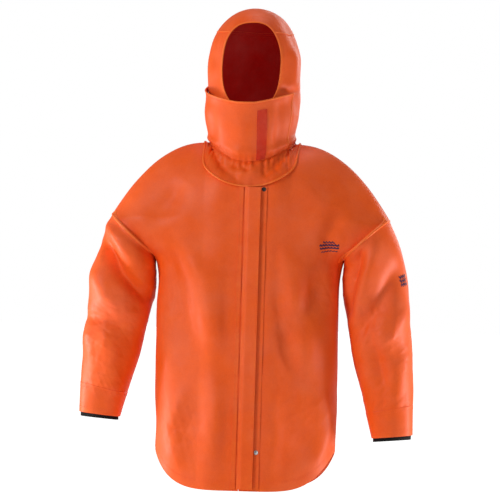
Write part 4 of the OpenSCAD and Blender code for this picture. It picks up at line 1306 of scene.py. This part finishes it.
class BuildCollar(bpy.types.Operator):
    """Gathered collar skirt, its bound edge, the neck elastic and the hanging loop"""

    bl_idname = "jacket.collar_skirt"
    bl_label = "Collar skirt"

    def execute(self, context):
        s = chosen(context)
        cols = 320
        t, f = np.meshgrid(np.linspace(-0.13, 1.0, 50), np.linspace(0, 2 * math.pi, cols + 1)[:-1], indexing="ij")
        p = skirt_lie(f, t)
        for _ in range(12):
            p[:, :, 1] += 0.25 * (np.roll(p[:, :, 1], 1, 1) - 2 * p[:, :, 1] + np.roll(p[:, :, 1], -1, 1))
            p[1:-1, :, 1] += 0.25 * (p[:-2, :, 1] - 2 * p[1:-1, :, 1] + p[2:, :, 1])
        n = normals(p, True)
        front = np.maximum(np.cos(f), 0) ** 0.5
        roll = 0.0055 * hill(t, 0.42, 0.30) * front
        fade = np.exp(-(np.maximum(t, 0) / 0.30) ** 2)
        tuck = gather(f + 0.05 * t) * (0.0034 * fade * ease((t + 0.13) * 8) + 0.0005)
        tuck = tuck + fold_field(p[..., 0], p[..., 2], SKIRT_FOLDS) * (np.cos(f) > 0)
        sway = 0.0022 * np.sin(6 * f + 5 * t) * hill(t, 0.5, 0.3) * front
        pinch = 0.0030 * hill(t, 0.08, 0.14) - 0.001
        p = p + n * (roll + tuck + sway + pinch)[..., None]
        sew("collar_skirt_cloth", p, three("coated_cloth"), s.cloth_thickness, "gathered", ["neck_elastic_band"],
            "jacket_body", "coated_cloth", ["collar_skirt"], ring=True, wear=np.clip((t - 0.9) * 6, 0, 1))
        n = normals(p, True)
        ob = tube_along("skirt_bound_edge", p[-1], 0.0026, [MATS["seam_cloth_painted_highlight"]], closed=True, up=n[-1], squash=0.9)
        finish_piece(ob, "jacket_body", ["skirt_binding"])
        ob = stitches("skirt_stitching", [(p[r] + n[r] * 0.0003, n[r]) for r in (8, 46)], MATS["thread"],
                      s.stitch_length)
        finish_piece(ob, "jacket_body")
        z, f = np.meshgrid(np.linspace(0, 1, 6), np.linspace(0, 2 * math.pi, 181)[:-1], indexing="ij")
        c = np.cos(f)
        g = np.stack([(NECK - 0.012) * np.sin(f), HOOD_Y - np.where(c > 0, 0.105, 0.0644) * c,
                      neck_z(f) - 0.002 - 0.011 * z], -1)
        g = g + normals(g, True) * (gather(f * 2) * 0.0005)[..., None]
        sew("neck_elastic_band", g, three("elastic", "elastic"), 0.0012, "stretched", ["back_cloth"], "jacket_body",
            "elastic", ["neck_elastic"], ring=True)
        a = np.linspace(-math.pi / 2, math.pi / 2, 14)
        path = [(0.028 + 0.007 * math.cos(x), 0.0665, -0.026 + 0.007 * math.sin(x)) for x in a]
        path += [(-0.028 - 0.007 * math.cos(x), 0.0665, -0.026 - 0.007 * math.sin(x)) for x in a]
        ob = tube_along("hanging_loop_tape", path, 0.0019, [MATS["lining_cloth"]], closed=True, squash=0.55)
        finish_piece(ob, "jacket_body", ["hanging_loop"])
        return {"FINISHED"}


UPPER_ROWS, LOWER_ROWS, CUFF_ROWS = 52, 84, 18
ELBOW_S = 0.33
ELBOW_BEND = {"right": ((0.315, 0, -0.412), (0.33, 0, -0.50)), "left": ((-0.314, 0, -0.399), (-0.327, 0, -0.487))}
INNER_CUFF_UP, INNER_CUFF_SHOW = 0.053, 0.0115


def cuff_s(drop, up):
    """Place along a sleeve, as s, that lies `up` above the cuff's edge."""
    return 1 - up / (drop - TIP_DROP)


class BuildSleeves(bpy.types.Operator):
    """Both sleeves from armhole to cuff seam, in pieces split at the elbow, with their cuffs"""

    bl_idname = "jacket.sleeves"
    bl_label = "Sleeves and cuffs"

    def execute(self, context):
        s = chosen(context)
        for side, drop in (("right", RIGHT_DROP), ("left", LEFT_DROP)):
            self.sleeve(s, side, drop)
        return {"FINISHED"}

    def sleeve(self, s, side, drop):
        left = side == "left"
        cuff0 = cuff_s(drop, CUFF_LEN)
        rows = np.concatenate([np.linspace(0, ELBOW_S, UPPER_ROWS), np.linspace(ELBOW_S, cuff0, LOWER_ROWS)[1:],
                               np.linspace(cuff0, 1, CUFF_ROWS)[1:]])
        m = s.samples_round
        ss, tt = np.meshgrid(rows, np.linspace(0, 2 * math.pi, m + 1)[:-1], indexing="ij")
        g = sleeve_skin(ss, tt, drop, left)
        if left:
            g = (g * [-1, 1, 1])[:, ::-1]
        n = normals(g, True)
        lower = f"{side}_lower_sleeve"
        edge = UPPER_ROWS + LOWER_ROWS - 2  # the row of the cuff seam
        a, b, c = slice(0, UPPER_ROWS), slice(UPPER_ROWS - 1, edge + 1), slice(edge, len(rows))
        sew(f"{side}_upper_sleeve_cloth", g[a], three("coated_cloth"), s.cloth_thickness, "hung",
            [f"front_{side}_cloth"], slot="coated_cloth", replaces=[f"{side}_upper_sleeve"],
            blend=shoulder_blend(side), ring=True, nrm=n[a])
        sew(f"{side}_lower_sleeve_cloth", g[b], three("coated_cloth"), s.cloth_thickness, "hung",
            [f"{side}_upper_sleeve_cloth"], slot="coated_cloth", replaces=[lower],
            blend=(f"{side}_upper_sleeve", lower, *ELBOW_BEND[side]), ring=True, nrm=n[b])
        wear = np.exp(-(1 - ss[c]) * (drop - TIP_DROP) / 0.006)
        sew(f"{side}_cuff_cloth", g[c], three("coated_cloth"), s.cloth_thickness, "hung",
            [f"{side}_lower_sleeve_cloth"], lower, "coated_cloth", [f"{side}_cuff"], ring=True, nrm=n[c], base=0.0006,
            wear=wear)
        ob = tube_along(f"{side}_cuff_seam", g[edge] + n[edge] * 0.0004, 0.0009, [MATS["trim_cloth"]], closed=True,
                        up=n[edge], squash=0.6)
        finish_piece(ob, lower)
        ob = tube_along(f"{side}_cuff_rim", g[-1] - n[-1] * 0.0004, 0.0013, [MATS["trim_cloth"]], closed=True,
                        up=n[-1], squash=0.8)
        finish_piece(ob, lower)
        runs = [(g[r] + n[r] * 0.0009, n[r]) for r in (edge + 2, edge + 14)]
        ob = stitches(f"{side}_cuff_stitching", runs, MATS["thread"],
                      s.stitch_length)
        finish_piece(ob, lower)
        deep = np.linspace(cuff_s(drop, INNER_CUFF_UP), cuff_s(drop, -INNER_CUFF_SHOW), 22)
        si, ti = np.meshgrid(deep, np.linspace(0, 2 * math.pi, 97)[:-1], indexing="ij")
        q = sleeve_points(si, ti, drop)
        q = q - normals(q, True) * (0.0036 - 0.0004 * np.sin(ti * 36))[..., None]
        if left:
            q = (q * [-1, 1, 1])[:, ::-1]
        sew(f"{side}_inner_cuff_cloth", q, three("cuff_rubber", "cuff_rubber"), 0.0015, "stretched",
            [f"{side}_cuff_cloth"], lower, "cuff_rubber", [f"{side}_inner_cuff"], ring=True)


class BuildSnaps(bpy.types.Operator):
    """Studs, sockets and snaps of the front closing"""

    bl_idname = "jacket.snaps"
    bl_label = "Studs and snaps"

    def execute(self, context):
        dress(["press_studs", "stud_backs", "stud_sockets", "bottom_snap"], "snap_metal")
        dress(["top_snap"], "snap_dark")
        for name, (lo, hi) in (("bottom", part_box("bottom_snap")), ("top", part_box("top_snap"))):
            mid = (lo + hi) / 2
            ring = [(mid.x + 0.0046 * math.cos(a), lo.y + 0.0011, mid.z + 0.0046 * math.sin(a))
                    for a in np.linspace(0, 2 * math.pi, 33)[:-1]]
            look = "snap_metal" if name == "bottom" else "snap_dark"
            ob = tube_along(f"{name}_snap_rim", ring, 0.0006, [MATS[look]], closed=True)
            finish_piece(ob, "jacket_body")
        return {"FINISHED"}


def ribbon(grid_fn, centre, half):
    """A printed ribbon: points along `centre` (u, w) widened by `half` across w."""
    c = np.asarray(centre, float)
    h = np.broadcast_to(half, (len(c),))
    up, low = c.copy(), c.copy()
    up[:, 1] += h
    low[:, 1] -= h
    mid = c
    return grid_fn(np.stack([up, mid, low]))


class BuildBadges(bpy.types.Operator):
    """A plain wave mark printed on the chest and on the right sleeve"""

    bl_idname = "jacket.badges"
    bl_label = "Printed marks"

    def execute(self, context):
        def chest(uw):
            x, z = 0.196 + uw[..., 0], -0.245 + uw[..., 1]
            v = v_mid(z)
            return body_skin(v, np.arcsin(np.clip(x / side_x(v), -1, 1)))

        u = np.linspace(-0.0232, 0.0232, 46)
        waves = [(0.0125, 0.0019, 0.0022, u[9:-9]), (0.0050, 0.0012, 0.0030, u), (-0.0030, 0.0010, 0.0026, u[1:-1]),
                 (-0.0120, 0.0008, 0.0013, u[4:-4])]
        obs = []
        for k, (w, high, thick, uu) in enumerate(waves):
            line = np.stack([uu, w + high * np.sin(uu * 900 + k)], -1)
            g = ribbon(chest, line, thick * (0.55 + 0.45 * np.abs(np.sin(uu * 450 + k))))
            obs.append((f"chest_mark_wave_{k + 1}", g))
        for name, g in obs:
            ob = cloth(name, g, three("badge_print", "badge_print"), 0.0004, base=0.0005)
            finish_piece(ob, "jacket_body", ["chest_badge"])

        def arm(uw):
            s_ = 0.2725 + uw[..., 1]
            t_ = math.radians(340) + uw[..., 0]
            p = sleeve_points(s_, t_, RIGHT_DROP)
            return p

        for k in range(3):
            tt = np.linspace(-0.17, 0.17, 30)
            line = np.stack([tt, 0.018 - 0.018 * k + 0.005 * np.sin(tt * 60 + k)], -1)
            g = ribbon(arm, line, 0.0045)
            full = sleeve_skin(*np.meshgrid(np.linspace(0.20, 0.35, 40), np.linspace(0, 2 * math.pi, 129)[:-1],
                                            indexing="ij"), RIGHT_DROP, False)
            flat = full.reshape(-1, 3)
            nn = normals(full, True).reshape(-1, 3)
            near = np.array([np.argmin(((flat - q) ** 2).sum(1)) for q in g.reshape(-1, 3)])
            off = ((flat[near] - g.reshape(-1, 3)) * nn[near]).sum(1)
            g = (g.reshape(-1, 3) + nn[near] * (off + 0.0006)[:, None]).reshape(g.shape)
            ob = cloth(f"sleeve_mark_wave_{k + 1}", g, three("badge_print", "badge_print"), 0.0005, base=0.0003)
            finish_piece(ob, replaces=["sleeve_badge"], blend=shoulder_blend("right"))
        return {"FINISHED"}


FLOOR_Z, FLOOR_REACH = -1.30, 60.0
LIGHTS = (  # name, place, width and height, watts
    ("key", (-3.2, -3.0, 1.3), (1.3, 1.3), 86),
    ("fill", (2.0, -4.8, 0.2), (2.2, 2.0), 20),
    ("behind", (1.6, 4.6, 1.2), (3.0, 2.4), 60),
    ("low_left", (-1.5, 0.15, -0.66), (0.3, 0.7), 15),
    ("low_right", (1.5, 0.15, -0.70), (0.25, 0.6), 13),
    ("top", (0.2, 0.6, 2.2), (1.4, 1.0), 16),
)
CAMERA_FAR, CAMERA_TURN, CAMERA_ROLL, AIM_Z = 13.24, math.radians(5), math.radians(1.5), -0.252


class BuildStage(bpy.types.Operator):
    """Plain pale floor, white surroundings, soft studio lights and the camera"""

    bl_idname = "jacket.stage"
    bl_label = "Stage, lights and camera"

    def execute(self, context):
        scene = context.scene
        mat = bpy.data.materials.new("pale_floor")
        mat.use_nodes = True
        b = mat.node_tree.nodes["Principled BSDF"]
        coord = node(mat.node_tree, "ShaderNodeTexCoord").outputs["Object"]
        g = use_group(mat.node_tree, "coat_grain", coord, Fineness=40.0)
        b.inputs["Base Color"].default_value = (0.93, 0.93, 0.93, 1)
        mat.node_tree.links.new(scaled(mat.node_tree, g.outputs["Mottle"], 0.8, 0.95), b.inputs["Roughness"])
        b.inputs["Emission Color"].default_value = (1, 1, 1, 1)
        seen = node(mat.node_tree, "ShaderNodeLightPath").outputs["Is Camera Ray"]
        mat.node_tree.links.new(scaled(mat.node_tree, seen, 0.10, 0.95), b.inputs["Emission Strength"])
        corners = np.array([(x * FLOOR_REACH, y * FLOOR_REACH, FLOOR_Z)
                            for x, y in ((-1, -1), (1, -1), (1, 1), (-1, 1))])
        floor = mesh_object("studio_floor", corners, [[0, 1, 2, 3]], [mat])
        world = bpy.data.worlds.new("studio")
        scene.world = world
        world.use_nodes = True
        bg = world.node_tree.nodes["Background"]
        bg.inputs["Color"].default_value = (1, 1, 1, 1)
        open_sky = node(world.node_tree, "ShaderNodeLightPath").outputs["Is Camera Ray"]
        world.node_tree.links.new(scaled(world.node_tree, open_sky, 0.24, 1.0), bg.inputs["Strength"])
        target = Vector((0, 0, -0.25))
        for name, place, size, power in LIGHTS:
            data = bpy.data.lights.new(name, "AREA")
            data.shape = "RECTANGLE"
            data.size, data.size_y = size
            data.energy = power
            lamp = bpy.data.objects.new(name, data)
            scene.collection.objects.link(lamp)
            lamp.location = place
            lamp.rotation_euler = (target - Vector(place)).to_track_quat("-Z", "Y").to_euler()
        cam = bpy.data.cameras.new("camera")
        cam.lens, cam.sensor_width = 400, 36
        ob = bpy.data.objects.new("camera", cam)
        scene.collection.objects.link(ob)
        look = Vector((0, 0, AIM_Z))
        eye = look + Vector((math.sin(CAMERA_TURN), -math.cos(CAMERA_TURN), 0)) * CAMERA_FAR
        rot = (look - eye).to_track_quat("-Z", "Y").to_matrix() @ Matrix.Rotation(CAMERA_ROLL, 3, "Z")
        ob.matrix_world = Matrix.Translation(eye) @ rot.to_4x4()
        scene.camera = ob
        scene.view_settings.view_transform = "Standard"
        return {"FINISHED"}


STEPS = (BuildMaterials, BuildBody, BuildHems, BuildFront, BuildHood, BuildChin, BuildCollar, BuildSleeves, BuildSnaps,
         BuildBadges, BuildStage)


class JacketPanel(bpy.types.Panel):
    """Sizes and building steps of the jacket"""

    bl_idname = "VIEW3D_PT_jacket"
    bl_label = "Foul weather jacket"
    bl_space_type = "VIEW_3D"
    bl_region_type = "UI"
    bl_category = "Jacket"

    def draw(self, context):
        settings = context.scene.jacket
        for name in ("cloth_colour", "lining_colour", "cuff_colour", "cloth_thickness", "fold_depth", "stitch_length",
                     "samples_round"):
            self.layout.prop(settings, name)
        for step in STEPS:
            self.layout.operator(step.bl_idname)


def register():
    for cls in (JacketSettings, *STEPS, JacketPanel):
        bpy.utils.register_class(cls)
    bpy.types.Scene.jacket = PointerProperty(type=JacketSettings)


def unregister():
    del bpy.types.Scene.jacket
    for cls in (JacketPanel, *reversed(STEPS), JacketSettings):
        bpy.utils.unregister_class(cls)


def main():
    register()
    for step in STEPS:
        getattr(bpy.ops.jacket, step.bl_idname.split(".")[1])()
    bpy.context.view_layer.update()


if __name__ == "__main__":
    main()
